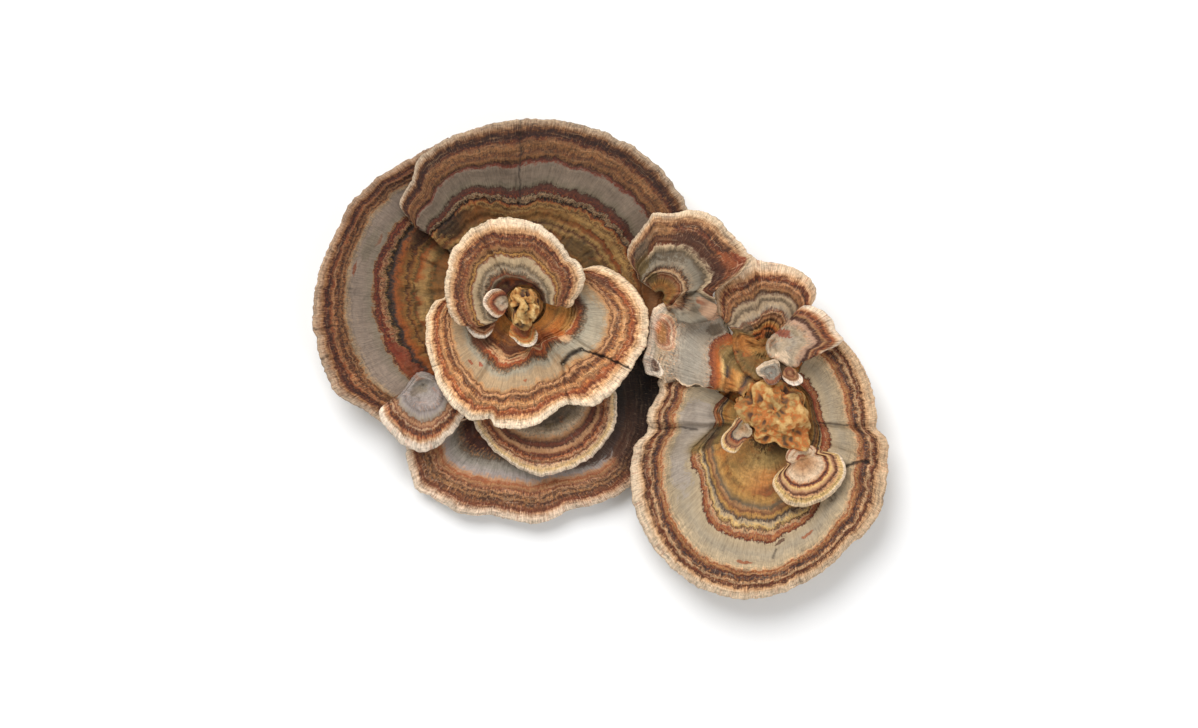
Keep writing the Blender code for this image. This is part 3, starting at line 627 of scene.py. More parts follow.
def zonedSkin(name, spec):
    g = Graph(name)
    zone, fan = g.read("zone"), g.read("fan", "Vector")
    pale, dark, under = g.read("pale"), g.read("dark"), g.read("under")
    stain = g.read("stain", "Color")
    stainAndShadeShare = Wire(g, stain.socket.node.outputs["Alpha"])
    here = g.put("ShaderNodeTexCoord", out="Object")
    fibre, dash, ring, streak, speck, scratch = (
        g.cloud(g.scaled(fan, size), 1.0, detail, rough) for size, detail, rough in grain.values())
    mottle = g.cloud(here, 900.0, 4.0, 0.7)
    patch = g.cloud(here, 170.0, 3.0, 0.6)
    blot = g.cloud(g.scaled(here, (1.0, 1.3, 1.0)), 240.0, 4.0, 0.65)
    # where things show: outer zones, old zones, the calm grey zone, the two brown zones
    outer = zone.between(0.62, 0.9)
    aged = zone.between(0.50, 0.42)
    calm = zone.between(0.56, 0.60) * (1 - zone.between(0.72, 0.76))
    busy = 1 - calm * 0.65
    spread = zone.between(0.12, 0.42)  # radial marks fade towards the hub
    brown = (zone.between(0.74, 0.79) * (1 - zone.between(0.88, 0.93))
             + zone.between(0.46, 0.50) * (1 - zone.between(0.55, 0.59))) * (1 - stainAndShadeShare)
    banded = aged * 0.25 + outer * 0.85 + 0.15
    # zones with frayed edges
    unit = min(1.0, spec["perZone"] / 30.0) ** 0.6 / spec["perZone"]
    fray = (streak - 0.5) * (2.6 - aged * 1.2) + ((fibre - 0.5) * 1.2 + (dash - 0.5) * 0.9) * spread
    colour = bandColour(g, zone + fray * unit, spec["bands"])
    # mix in the listed patches: stains, and painted shade under other caps
    stainAndShadeMix = (stainAndShadeShare * 1.5 - 0.25 + (streak - 0.5) * 2.2).between(0.2, 0.6)
    colour = g.mix(colour, stain, stainAndShadeMix * 0.85)
    # rusty and cream streaks, dark and pale hairs, dots and scratches
    for ink, share in (
            ("redRust", streak.between(0.60, 0.76) * patch.between(0.40, 0.60) * (0.45 - calm * 0.33)),
            ("ivory", dash.between(0.56, 0.74) * (outer * 0.30 + 0.08)),
            ("maroon", fibre.between(0.58, 0.76) * (outer * 0.40 + 0.12)),
            ("maroon", ring.between(0.55, 0.66) * 0.45 * banded),
            ("ivory", ring.between(0.44, 0.34) * 0.25 * banded),
            ("olive", blot.between(0.53, 0.66) * aged * 0.42),
            ("orange", blot.between(0.44, 0.34) * aged * 0.34),
            ("darkBrown", streak.between(0.57, 0.70) * aged * 0.42),
            ("yellow", speck.between(0.60, 0.72) * brown * 0.34),
            ("orange", speck.between(0.54, 0.60) * brown * 0.24),
            ("black", speck.between(0.42, 0.34) * brown * 0.5),
            ("darkBrown", scratch.between(0.54, 0.70) * calm * 0.26),
            ("white", scratch.between(0.44, 0.32) * calm * 0.10)):
        colour = g.mix(colour, linear(ink), share)
    # colour and brightness of each cap: partly its own colour, partly painted shade on the low caps that the
    # lamps light less
    tintAndShade = spec.get("tintAndShade", (1.0, 1.0, 1.0))
    colour = g.scaled(colour, tintAndShade)
    # pale margin with darker slits across it; paler at the bearings listed under pale, mostly the lower
    # side: partly the margin's own colour, partly painted light
    rimWhite = tuple(w * (0.35 + 0.65 * t) for w, t in zip(linear("white"), tintAndShade))
    rimRust = tuple(w * (0.2 + 0.8 * t) for w, t in zip(linear("rust"), tintAndShade))
    rimFrom = spec.get("rimFrom", 0.92)
    rim = (zone + (dash - 0.5) * 2.0 * unit).between(rimFrom, rimFrom + 0.055)
    colour = g.mix(colour, rimWhite, rim * pale * 0.75)
    colour = g.mix(colour, rimRust, rim * fibre.between(0.53, 0.68) * 0.5)
    # tone varies at random, then is multiplied by the light table listed per cap by bearing: painted light
    # and shade
    tone = 1.0 - (ring - 0.5) * banded + ((fibre - 0.5) * 0.8 + (dash - 0.5) * (outer + 0.5)) * spread
    tone = tone + ((streak - 0.5) * 1.2 + (mottle - 0.5) * 1.1) * busy
    tone = (tone + (patch - 0.5) * 0.6) * g.read("light")
    colour = g.put("ShaderNodeVectorMath", dict(operation="SCALE"), {0: colour, 3: tone})
    # painted shade: black in the cracks and the wrinkles
    colour = g.mix(colour, linear("black"), dark * 0.92)
    # underside: cream with tiny round pores
    pores = g.put("ShaderNodeTexVoronoi", dict(feature="F1"), {"Vector": here, "Scale": poreScale})
    # the pores brown in their middles: painted shade in the holes
    poreColour = g.mix(linear("pore"), linear("brown"), pores.between(0.35, 0.1) * 0.5)
    colour = g.mix(colour, poreColour, under.between(0.3, 0.7))
    radial = fibre * spread * -0.7 * (outer * 0.7 + 0.3) + dash * spread * 0.5 - scratch * calm * 0.3
    ringed = (streak + mottle) * 0.5 * busy + speck * brown * 0.6 - ring * banded * 1.2
    height = (radial + ringed) * (1 - under) + pores * under * 0.6
    return g.finish(colour, 0.84 + (streak - 0.5) * 0.25, height, **skinBump)


def wartyFlesh(name, spec):
    g = Graph(name)
    here = g.put("ShaderNodeTexCoord", out="Object")
    high = g.read("high")
    cloud = g.cloud(here, 420.0, 5.0, 0.62)
    fine = g.cloud(here, 1500.0, 4.0, 0.6)
    warm = g.cloud(here, 150.0, 3.0, 0.6)
    cells = g.put("ShaderNodeTexVoronoi", dict(feature="F1"), {"Vector": here, "Scale": 900.0})
    # colour by height: darker in the hollows and pits, lighter and yellower on the ridges; partly the
    # flesh's own colour, partly painted shade and painted highlight
    tone = cloud * 0.75 + high * 0.55 - 0.12 + (fine - 0.5) * 0.35
    stops = [(place, linear(tintAndShade)) for place, tintAndShade in spec["tones"]]
    colour = g.put("ShaderNodeValToRGB", dict(stops=stops), {0: tone})
    for ink, share in (
            ("ochre", warm.between(0.46, 0.66) * spec["warm"]),
            ("olive", warm.between(0.46, 0.36) * 0.5),
            # the dark browns: painted shade down in the hollows and the small pits
            ("darkBrown", high.between(0.34, 0.05) * 0.85),
            ("darkBrown", cells.between(0.28, 0.08) * 0.35),
            ("pore", g.read("side"))):
        colour = g.mix(colour, linear(ink), share)
    return g.finish(colour, 0.78 + (fine - 0.5) * 0.2, cloud * 0.6 + fine * 0.5 + cells * 0.3, **fleshBump)


footShare = 0.08  # share of the ball that becomes the flat cut foot


def stemProfile(spec, t, bearing):
    # height and radius at a share t of the way from the foot to the top
    if t < spec["lowShare"]:
        z = spec["stem"][-1][0] * (t / spec["lowShare"])
        return z, lined(spec["stem"], z)
    base, top = spec["stem"][-1][0], spec["top"]
    reach = smoothReach(spec.get("grown", spec["reach"]), bearing, True)
    z = base + (top - base) * math.sin((t - spec["lowShare"]) / (1 - spec["lowShare"]) * math.pi / 2) ** 0.9
    table = [spec["stem"][-1]] + [(level, share * reach) for level, share in spec["head"]] + [(top, 0.0)]
    lastLevel, lastRadius = table[-2]
    if z > lastLevel:
        return z, lastRadius * math.sqrt(max(0.0, (top - z) / (top - lastLevel)))
    return z, lined(table, z)


def growStem(name, spec):
    # a ball pulled to the stem's profile, its head covered with warts and pits
    deselectAll()
    bpy.ops.mesh.primitive_uv_sphere_add(segments=spec["fine"][0], ring_count=spec["fine"][1], radius=1)
    piece = bpy.context.object
    piece.name = piece.data.name = name + "_flesh"
    ax, ay = spec["axis"]
    seed = spec["seed"]
    points, high, side = [], [], []
    for px, py, pz in meshPoints(piece):
        level = 1 - math.acos(max(-1.0, min(1.0, pz))) / math.pi
        b = math.degrees(math.atan2(py, px))
        c, s = math.cos(math.radians(b)), math.sin(math.radians(b))
        if level < footShare:
            r = spec["stem"][0][1] * level / footShare
            points.append(((ax + r * c + shiftX) * mm, (ay + r * s + shiftY) * mm, 0.0))
            high.append(0.35)
            side.append(1.0)
            continue
        t = (level - footShare) / (1 - footShare)
        z, r = stemProfile(spec, t, b)
        x, y = ax + r * c, ay + r * s
        lump = noiseAt(x * 0.2, y * 0.2, z * 0.2 + seed)
        ridge = 1 - 2 * abs(noiseAt(x * 0.3, y * 0.3, z * 0.3 + seed + 11)) - 0.6
        wart = noiseAt(x * 0.8, y * 0.8, z * 0.8 + seed + 3)
        bump = noiseAt(x * 2.2, y * 2.2, z * 2.2 + seed + 7)
        pit = max(0.0, noiseAt(x * 0.6, y * 0.6, z * 0.6 + seed + 17) - 0.16) * 4
        isHead = max(0.0, min(1.0, (t - spec["lowShare"] * 0.85) / 0.15))
        shape = sum(size * form for size, form in zip(spec["lumps"], (lump, ridge, wart, bump)))
        shape -= spec["pits"] * pit
        nearAxis = 1 if r > 1.5 else r / 1.5
        r = max(0.0, r + (isHead * shape + (1 - isHead) * 0.15 * wart) * nearAxis)
        z = max(0.0, z + isHead * shape * 0.9)
        points.append(((ax + r * c + shiftX) * mm, (ay + r * s + shiftY) * mm, z * mm))
        # pits lower the height value, so they are coloured darker: painted shade in the pits
        hollow = 0.45 * pit * min(1.0, spec["pits"] * 1.5)
        high.append(0.5 + 0.9 * (0.5 * ridge + 0.35 * lump + 0.5 * wart) - hollow)
        side.append(1.0 if z < 0.2 else 0.0)
    piece.data.vertices.foreach_set("co", np.array(points).ravel())
    store(piece, "high", high)
    store(piece, "side", side)
    piece.data.update()
    bpy.ops.object.shade_smooth()
    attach(piece, "root")
    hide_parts(name)
    return piece


# the caps, in mm and degrees round each centre
# bands: how far out, colour, relief in mm
brackets = {}
brackets["bottom_bracket"] = dict(
    centre=(-19.2, -6.8), span=None, columns=22, zones=midZones, fine=(300, 56, 12), seed=1,
    slot="zoned_skin",
    margin=[(-167, 29.5), (-152, 35.5), (-140, 38.5), (-136, 39.5), (-131, 38.5), (-116, 37.5),
            (-105, 35.5), (-92, 36), (-86, 36.5), (-80, 36), (-69, 35), (-55, 37), (-41, 38.5), (-19, 36),
            (-5, 33), (25, 21.5), (58, 17), (90, 15.5), (132, 17.5), (164, 23)],
    inner=[(-165, 15), (-135, 20.5), (-110, 18.5), (-78, 18.5), (-43, 23), (-11, 20), (36, 11.5),
           (135, 9.5)],
    thick=(2.0, 1.3), stemLevels=(6.4, 4.4), clearOf="left_stem_knob", folds=[-136],
    pale=[(-150, 0.6), (-90, 0.7), (-40, 0.3), (-20, 0), (90, 0)],
    # light table: darker from its right side round to its top, where the cap runs under the others: painted
    # shade
    light=[(-150, 1), (-80, 1), (-50, 0.9), (-30, 0.6), (-10, 0.35), (40, 0.3), (100, 0.5), (150, 0.8)],
    grown=[(-180, 26), (-167, 29.5), (-152, 35.5), (-140, 38.5), (-136, 39.5), (-131, 38.5), (-116, 37.5),
           (-105, 35.5), (-92, 36), (-86, 36.5), (-80, 36), (-69, 35), (-55, 37), (-41, 38.5), (-19, 36.5),
           (-5, 36.5), (10, 36), (25, 31), (58, 17), (90, 15.5), (132, 17.5), (164, 23)],
    # the black and dark brown patches: painted shade under the caps above
    stainsAndShade=[(5, 0.8, 22, 0.35, "black", 1), (-25, 0.75, 14, 0.3, "darkBrown", 0.9),
            (-50, 0.55, 30, 0.1, "darkBrown", 0.8)],
    # the zones inside the grey one are dark: painted shade under the caps above
    bands=[(0, "brown", 0), (0.3, "darkBrown", 0), (0.5, "maroon", 0), (0.56, "greyDark", 0.1),
           (0.62, "greyBlue", 0.1), (0.68, "greyCool", 0.1), (0.71, "tan", 0), (0.735, "rust", 0.1),
           (0.755, "sand", 0.05), (0.78, "redBrown", 0.15), (0.805, "tan", 0.1), (0.82, "darkBrown", -0.1),
           (0.845, "sand", 0.1), (0.86, "darkBrown", -0.05), (0.885, "brown", 0.15),
           (0.915, "redBrown", 0.1), (0.94, "tan", 0.1), (0.97, "cream", 0.05), (1, "ivory", 0)])

brackets["left_bracket"] = dict(
    # tint and light table: partly this cap's own colour, partly painted light and shade, darker on its upper
    # side and lighter on its lower
    tintAndShade=(0.60, 0.53, 0.44),
    light=[(112, 0.74), (140, 0.8), (165, 0.92), (190, 1.0), (215, 1.15), (247, 1.15)],
    centre=(-21.7, 14.5), span=(112, 247), columns=18, zones=bigZones, fine=(300, 90, 14), seed=2,
    slot="zoned_skin",
    margin=[(112, 46.5), (120, 46), (149, 50), (155, 50), (186, 53), (192, 52.5), (204, 52.5), (210, 51),
            (215, 48.5), (227, 45.5), (235, 43.5), (242, 36), (247, 33)],
    inner=[(112, 31), (137, 33.5), (154, 34), (162, 35.5), (174, 35), (234, 30.5), (247, 29)],
    thick=(2.2, 1.3), stemLevels=(10, 7.8), clearOf="left_stem_knob",
    drift=[(112, 0), (150, -0.02), (165, 0.01), (200, 0.02), (215, 0.02), (247, 0.02)],
    pale=[(112, 0.35), (150, 0.4), (180, 0.45), (200, 0.6), (215, 0.75), (247, 0.6)], rimFrom=0.93,
    stainsAndShade=[(171, 0.345, 5, 0.025, "yellow", 0.8), (186, 0.34, 6, 0.03, "yellow", 0.7),
            (199, 0.37, 5, 0.025, "gold", 0.8), (180, 0.24, 26, 0.05, "gold", 0.5),
            (150, 0.24, 24, 0.09, "ochre", 0.5), (208, 0.52, 11, 0.035, "redRust", 1),
            (213, 0.535, 6, 0.03, "rust", 1), (222, 0.5, 8, 0.04, "redRust", 0.8),
            (168, 0.73, 2.5, 0.012, "rust", 0.9), (155, 0.63, 2.5, 0.01, "rust", 0.9),
            (140, 0.42, 16, 0.05, "darkBrown", 0.6), (212, 0.3, 16, 0.1, "brown", 0.6),
            (158, 0.68, 7, 0.05, "greyBlue", 0.7), (196, 0.68, 6, 0.05, "greyDark", 0.25),
            (126, 0.65, 10, 0.08, "greyDark", 0.6)],
    wrinkle=1.2,
    cracks=[dict(path=[(187, 1.02), (188, 0.93), (187, 0.84)], width=0.3, depth=0.5, shade=0.7),
            dict(path=[(196, 1.02), (196, 0.94)], width=0.3, depth=0.5, shade=0.6),
            dict(path=[(163, 1.02), (164, 0.93)], width=0.25, depth=0.4, shade=0.6),
            dict(path=[(226, 1.02), (226, 0.9)], width=0.3, depth=0.4, shade=0.5)],
    bands=[(0, "darkBrown", 0), (0.15, "ochre", 0), (0.24, "gold", 0.05), (0.29, "olive", 0),
           (0.325, "yellow", 0.1), (0.36, "orange", 0.1), (0.375, "olive", 0), (0.385, "gold", 0.05),
           (0.396, "ochre", 0), (0.405, "darkBrown", -0.15), (0.415, "gold", 0.1), (0.43, "ochre", 0.1),
           (0.452, "orange", 0.1), (0.462, "brown", 0), (0.470, "indigo", -0.2), (0.482, "black", -0.25),
           (0.490, "olive", 0), (0.497, "cream", 0.15), (0.508, "redBrown", -0.05), (0.516, "cream", 0.15),
           (0.524, "redRust", 0), (0.54, "maroon", -0.1), (0.556, "redRust", 0.1), (0.568, "maroon", -0.1),
           (0.578, "sand", 0.05), (0.588, "greyBlue", 0), (0.66, "greyCool", 0.05),
           (0.74, "greyCool", 0.05), (0.775, "greyBeige", 0), (0.79, "sand", 0), (0.803, "darkBrown", -0.1),
           (0.815, "sand", 0.05), (0.832, "darkBrown", -0.1), (0.85, "brown", 0.05), (0.865, "tan", 0.1),
           (0.88, "rust", 0.1), (0.895, "darkBrown", -0.05), (0.905, "maroon", -0.1),
           (0.918, "redBrown", 0), (0.935, "sand", 0.1), (0.965, "tan", 0.1), (0.99, "cream", 0.05),
           (1, "cream", 0)])

brackets["back_bracket"] = dict(
    # tint and light table: partly this cap's own colour, partly painted shade on a low cap that gets less
    # light, and painted light and shade by bearing
    tintAndShade=(0.46, 0.40, 0.31), light=[(-22, 1.25), (10, 1.15), (40, 1.0), (90, 0.95), (125, 1.0), (142, 1.1)],
    centre=(-21.6, 14.5), span=(-22, 142), columns=22, zones=bigZones, fine=(360, 90, 14), seed=3,
    slot="zoned_skin",
    margin=[(-22, 33), (-19, 34), (1, 42.5), (17, 47.5), (28, 51), (49, 51), (95, 47), (113, 46),
            (125, 44.5), (130, 41.5), (134, 41), (140, 39), (142, 35.5)],
    inner=[(-22, 29), (-8, 32), (31, 31.5), (75, 27), (87, 25.5), (113, 29), (130, 27.5), (136, 28),
           (142, 28)],
    thick=(2.2, 1.3), stemLevels=(12.8, 10.6), clearOf="left_stem_knob", folds=[88],
    drift=[(-22, 0), (84, -0.01), (88, 0), (92, 0.015), (142, 0.0)],
    pale=[(-22, 0.6), (20, 0.8), (60, 0.65), (100, 0.5), (118, 0.7), (130, 1), (142, 1)],
    stainsAndShade=[(42, 0.3, 12, 0.05, "olive", 0.8), (22, 0.3, 10, 0.06, "olive", 0.6),
            (30, 0.445, 34, 0.012, "yellow", 0.8, 3), (28, 0.41, 30, 0.01, "orange", 0.9, 3),
            (32, 0.38, 26, 0.008, "yellow", 0.7, 3), (75, 0.41, 22, 0.04, "gold", 0.6),
            (115, 0.42, 14, 0.05, "ochre", 0.7), (130, 0.47, 10, 0.06, "black", 0.7),
            (2, 0.7, 12, 0.26, "ochre", 0.9), (-12, 0.75, 10, 0.28, "ochre", 1),
            (-8, 0.9, 12, 0.1, "olive", 0.8), (-16, 0.62, 6, 0.1, "rust", 0.8)],
    wrinkle=0.8, rimFrom=0.94,
    cracks=[
            dict(path=[(88, 1.02), (88.4, 0.9), (87.6, 0.8), (88.2, 0.7), (87.4, 0.6), (88, 0.5)],
                 width=0.28, depth=0.55, shade=0.75),
            dict(path=[(46, 0.83), (52, 0.835)], width=0.2, depth=0.3, shade=0.6)],
    bands=[(0, "brown", 0), (0.2, "ochre", 0), (0.27, "gold", 0.05), (0.31, "ochre", 0),
           (0.335, "yellow", 0.05), (0.36, "brown", -0.05), (0.375, "yellow", 0.05), (0.395, "ochre", 0),
           (0.41, "brown", -0.1), (0.425, "yellow", 0.1), (0.445, "ochre", 0.1), (0.46, "yellow", 0.1),
           (0.47, "brown", -0.1), (0.48, "yellow", 0.1), (0.493, "orange", 0.1), (0.503, "darkBrown", -0.1),
           (0.511, "black", -0.25), (0.52, "ivory", 0.15), (0.528, "darkBrown", -0.05),
           (0.536, "ivory", 0.15), (0.545, "black", -0.1), (0.556, "redRust", 0.1),
           (0.566, "maroon", -0.05), (0.578, "redBrown", 0.1), (0.592, "darkBrown", -0.1),
           (0.605, "greyBlue", 0), (0.65, "greyCool", 0.05), (0.72, "greyCool", 0.05),
           (0.738, "redRust", 0), (0.752, "darkBrown", -0.1), (0.775, "sand", 0.1), (0.80, "brown", 0.05),
           (0.83, "sand", 0.1), (0.855, "tan", 0.05), (0.88, "redBrown", 0.0), (0.895, "maroon", -0.1),
           (0.92, "darkBrown", -0.1), (0.935, "brown", 0.1), (0.955, "sand", 0.1), (0.985, "cream", 0.05),
           (1, "ivory", 0)])

brackets["large_right_bracket"] = dict(
    tintAndShade=(1.02, 1.02, 0.94), centre=(44.1, -17.2), span=(-213, 52), columns=32, zones=bigZones,
    fine=(560, 90, 14), seed=4, slot="zoned_skin",
    margin=[(-213, 30.5), (-202, 31), (-197, 30), (-186, 31.5), (-176, 32), (-173, 34.5), (-167, 36.5),
            (-148, 41), (-131, 44), (-101, 46), (-64, 39.5), (-57, 38), (-41, 37.5), (-26, 34.5), (-19, 33),
            (-6, 31), (-2, 28.5), (4, 28.5), (48, 29.5), (52, 29.5)],
    inner=[(-213, 14.5), (-195, 16), (-180, 15), (-156, 22), (-136, 26), (-90, 30), (-81, 27.5),
           (-25, 15.5), (-8, 14.5), (15, 13), (32, 13.5), (52, 13.5)],
    thick=(2.4, 1.4), stemLevels=(7.4, 5.0), clearOf="right_stem_core", folds=[-180, -22, 0],
    drift=[(-213, 0.03), (-185, 0.0), (-165, 0.03), (-150, 0.05), (-120, 0.0), (-90, 0.02), (-60, -0.01),
           (-25, 0.03), (-19, 0.01), (-3, 0.03), (6, 0.04), (30, 0.02), (52, 0.0)],
    pale=[(-213, 0.5), (-150, 0.7), (-90, 0.6), (-40, 0.3), (52, 0.2)],
    innerDrift=[(-213, 0.13), (-185, 0.15), (-172, 0.1), (-160, 0.02), (-140, 0.1), (-120, 0.03),
                (-85, 0.04), (-60, 0), (52, 0)],
    drawn=(-213, 60),
    stainsAndShade=[(-168, 0.52, 9, 0.16, "olive", 1), (-171, 0.47, 6, 0.1, "greyDark", 1),
            (-164, 0.42, 7, 0.05, "darkBrown", 0.8), (-172, 0.25, 14, 0.12, "olive", 0.9),
            # the black patches at -60 and -66 degrees: painted shadow under the core
            (-92, 0.27, 14, 0.03, "rust", 0.8), (-60, 0.06, 26, 0.08, "black", 1),
            (-66, 0.13, 13, 0.1, "black", 1, 1.5), (-120, 0.2, 24, 0.1, "gold", 0.6),
            (15, 0.51, 42, 0.03, "redRust", 1), (-206, 0.51, 12, 0.06, "rust", 1, 3),
            (-190, 0.45, 11, 0.065, "orange", 1, 3), (-205, 0.535, 12, 0.012, "maroon", 1, 3),
            (-190, 0.47, 11, 0.01, "maroon", 1, 3), (-205, 0.41, 13, 0.028, "indigo", 1, 3),
            (-190, 0.355, 11, 0.025, "indigo", 1, 3), (-190, 0.385, 11, 0.01, "cream", 1, 3),
            (-205, 0.442, 12, 0.01, "cream", 1, 3), (-75, 0.14, 18, 0.06, "olive", 0.8),
            (-110, 0.12, 60, 0.1, "yellow", 0.5), (-80, 0.2, 30, 0.05, "orange", 0.5),
            (-140, 0.14, 20, 0.08, "ochre", 0.6), (-185, 0.66, 14, 0.08, "greyCool", 0.9),
            (-158, 0.66, 18, 0.06, "greyCool", 0.7), (-100, 0.72, 3, 0.012, "rust", 0.9),
            (-84, 0.6, 3, 0.012, "darkBrown", 0.9), (-70, 0.66, 4, 0.012, "rust", 0.9),
            (-40, 0.62, 12, 0.08, "greyDark", 0.6)],
    wrinkle=0.5,
    cracks=[
            dict(path=[(-33, 0.6), (-28.4, 0.674), (-21.7, 0.78), (-20, 0.85)],
                 width=0.5, depth=0.7, shade=0.9),
            dict(path=[(2.4, 0.46), (1.2, 0.6), (0, 0.74)], width=0.28, depth=0.4, shade=0.6),
            dict(path=[(-179.2, 1.0), (-177.8, 0.86), (-178.8, 0.72), (-176, 0.58)],
                 width=0.3, depth=0.4, shade=0.55),
            dict(path=[(-78, 1.02), (-79, 0.9), (-77, 0.8)], width=0.3, depth=0.4, shade=0.6),
            dict(path=[(-88, 0.67), (-86, 0.61)], width=0.3, depth=0.3, shade=0.7)],
    bands=[(0, "darkBrown", 0), (0.08, "olive", 0), (0.18, "gold", 0.05), (0.26, "ochre", 0),
           (0.33, "gold", 0.05), (0.37, "greyDark", 0), (0.39, "sand", 0.1), (0.41, "brown", -0.05),
           (0.435, "gold", 0.1), (0.455, "indigo", -0.2), (0.475, "greyBeige", 0.05),
           (0.495, "yellow", 0.1), (0.51, "darkBrown", 0), (0.522, "cream", 0.1), (0.54, "redRust", 0.05),
           (0.551, "sand", 0.05), (0.562, "redRust", 0.05), (0.57, "maroon", 0), (0.58, "greyBeige", 0),
           (0.66, "grey", 0.05), (0.75, "greyBeige", 0.05), (0.775, "cream", 0.05), (0.79, "rust", 0.1),
           (0.805, "sand", 0.05), (0.825, "redBrown", 0), (0.845, "indigo", -0.15), (0.86, "brown", 0.05),
           (0.878, "cream", 0.1), (0.892, "redBrown", -0.05), (0.91, "darkBrown", -0.05),
           (0.922, "tan", 0.1), (0.95, "cream", 0.1), (1, "cream", 0)])

brackets["lower_left_bracket"] = dict(
    centre=(-45.5, -6.7), span=None, columns=18, zones=midZones, fine=(200, 48, 10), seed=5,
    slot="zoned_skin",
    margin=[(-168, 5), (-159, 6.5), (-156, 9), (-150, 13), (-136, 14.5), (-124, 15), (-111, 16.5),
            (-93, 17.5), (-77, 17), (-69, 15.5), (-56, 14.5), (-36, 13.5), (-19, 12), (0, 6.5), (37, 4),
            (90, 3.5), (173, 4)],
    inner=[(-156, 4), (-125, 5), (-87, 5.5), (-49, 5.5), (45, 2.5), (140, 2.5)], thick=(1.6, 1.2),
    pale=[(-150, 1), (-90, 1), (-40, 0.8), (90, 0.8)], rimFrom=0.9,
    free=[(-168, 0.45), (-155, 0.85), (-149, 1), (-36, 1), (-19, 0.95), (0, 0.6), (37, 0.4), (90, 0.3),
          (173, 0.35)],
    bands=[(0, "greyBlue", 0), (0.35, "greyCool", 0), (0.5, "greyCool", 0), (0.6, "greyCool", 0),
           (0.66, "grey", 0), (0.69, "brown", -0.05), (0.72, "tan", 0.1), (0.75, "redBrown", -0.05),
           (0.775, "cream", 0.05), (0.80, "redBrown", -0.1), (0.83, "darkBrown", -0.1),
           (0.86, "rust", 0.05), (0.89, "tan", 0.1), (0.93, "cream", 0.1), (1, "ivory", 0)])

brackets["crescent_bracket"] = dict(
    centre=(-13.9, -8.6), span=None, columns=18, zones=midZones, fine=(260, 52, 10), seed=6,
    slot="zoned_skin",
    margin=[(-174, 20), (-125, 20.5), (-92, 22), (-80, 21.5), (-22, 20), (43, 16), (85, 16), (161, 18)],
    inner=[(-150, 12), (-90, 10.5), (-11, 10.5), (61, 8), (139, 8.5)], thick=(1.8, 1.3),
    stemLevels=(11.8, 10.0), clearOf="left_stem_knob", pale=[(-150, 0.7), (-90, 0.7), (0, 0.7), (90, 0.2)],
    # the inner zones dark grey: painted shade under the rosette's lower bracket
    bands=[(0, "greyDark", 0), (0.4, "greyDark", 0), (0.52, "greyBeige", 0.05), (0.58, "sand", 0),
           (0.62, "darkBrown", -0.1), (0.655, "redBrown", 0.05), (0.68, "darkBrown", -0.1),
           (0.705, "tan", 0.1), (0.74, "sand", 0.1), (0.765, "redBrown", 0), (0.785, "darkBrown", -0.1),
           (0.81, "rust", 0.1), (0.84, "tan", 0.1), (0.86, "redBrown", 0), (0.885, "cream", 0.1),
           (0.95, "yellow", 0.1), (1, "ivory", 0)])

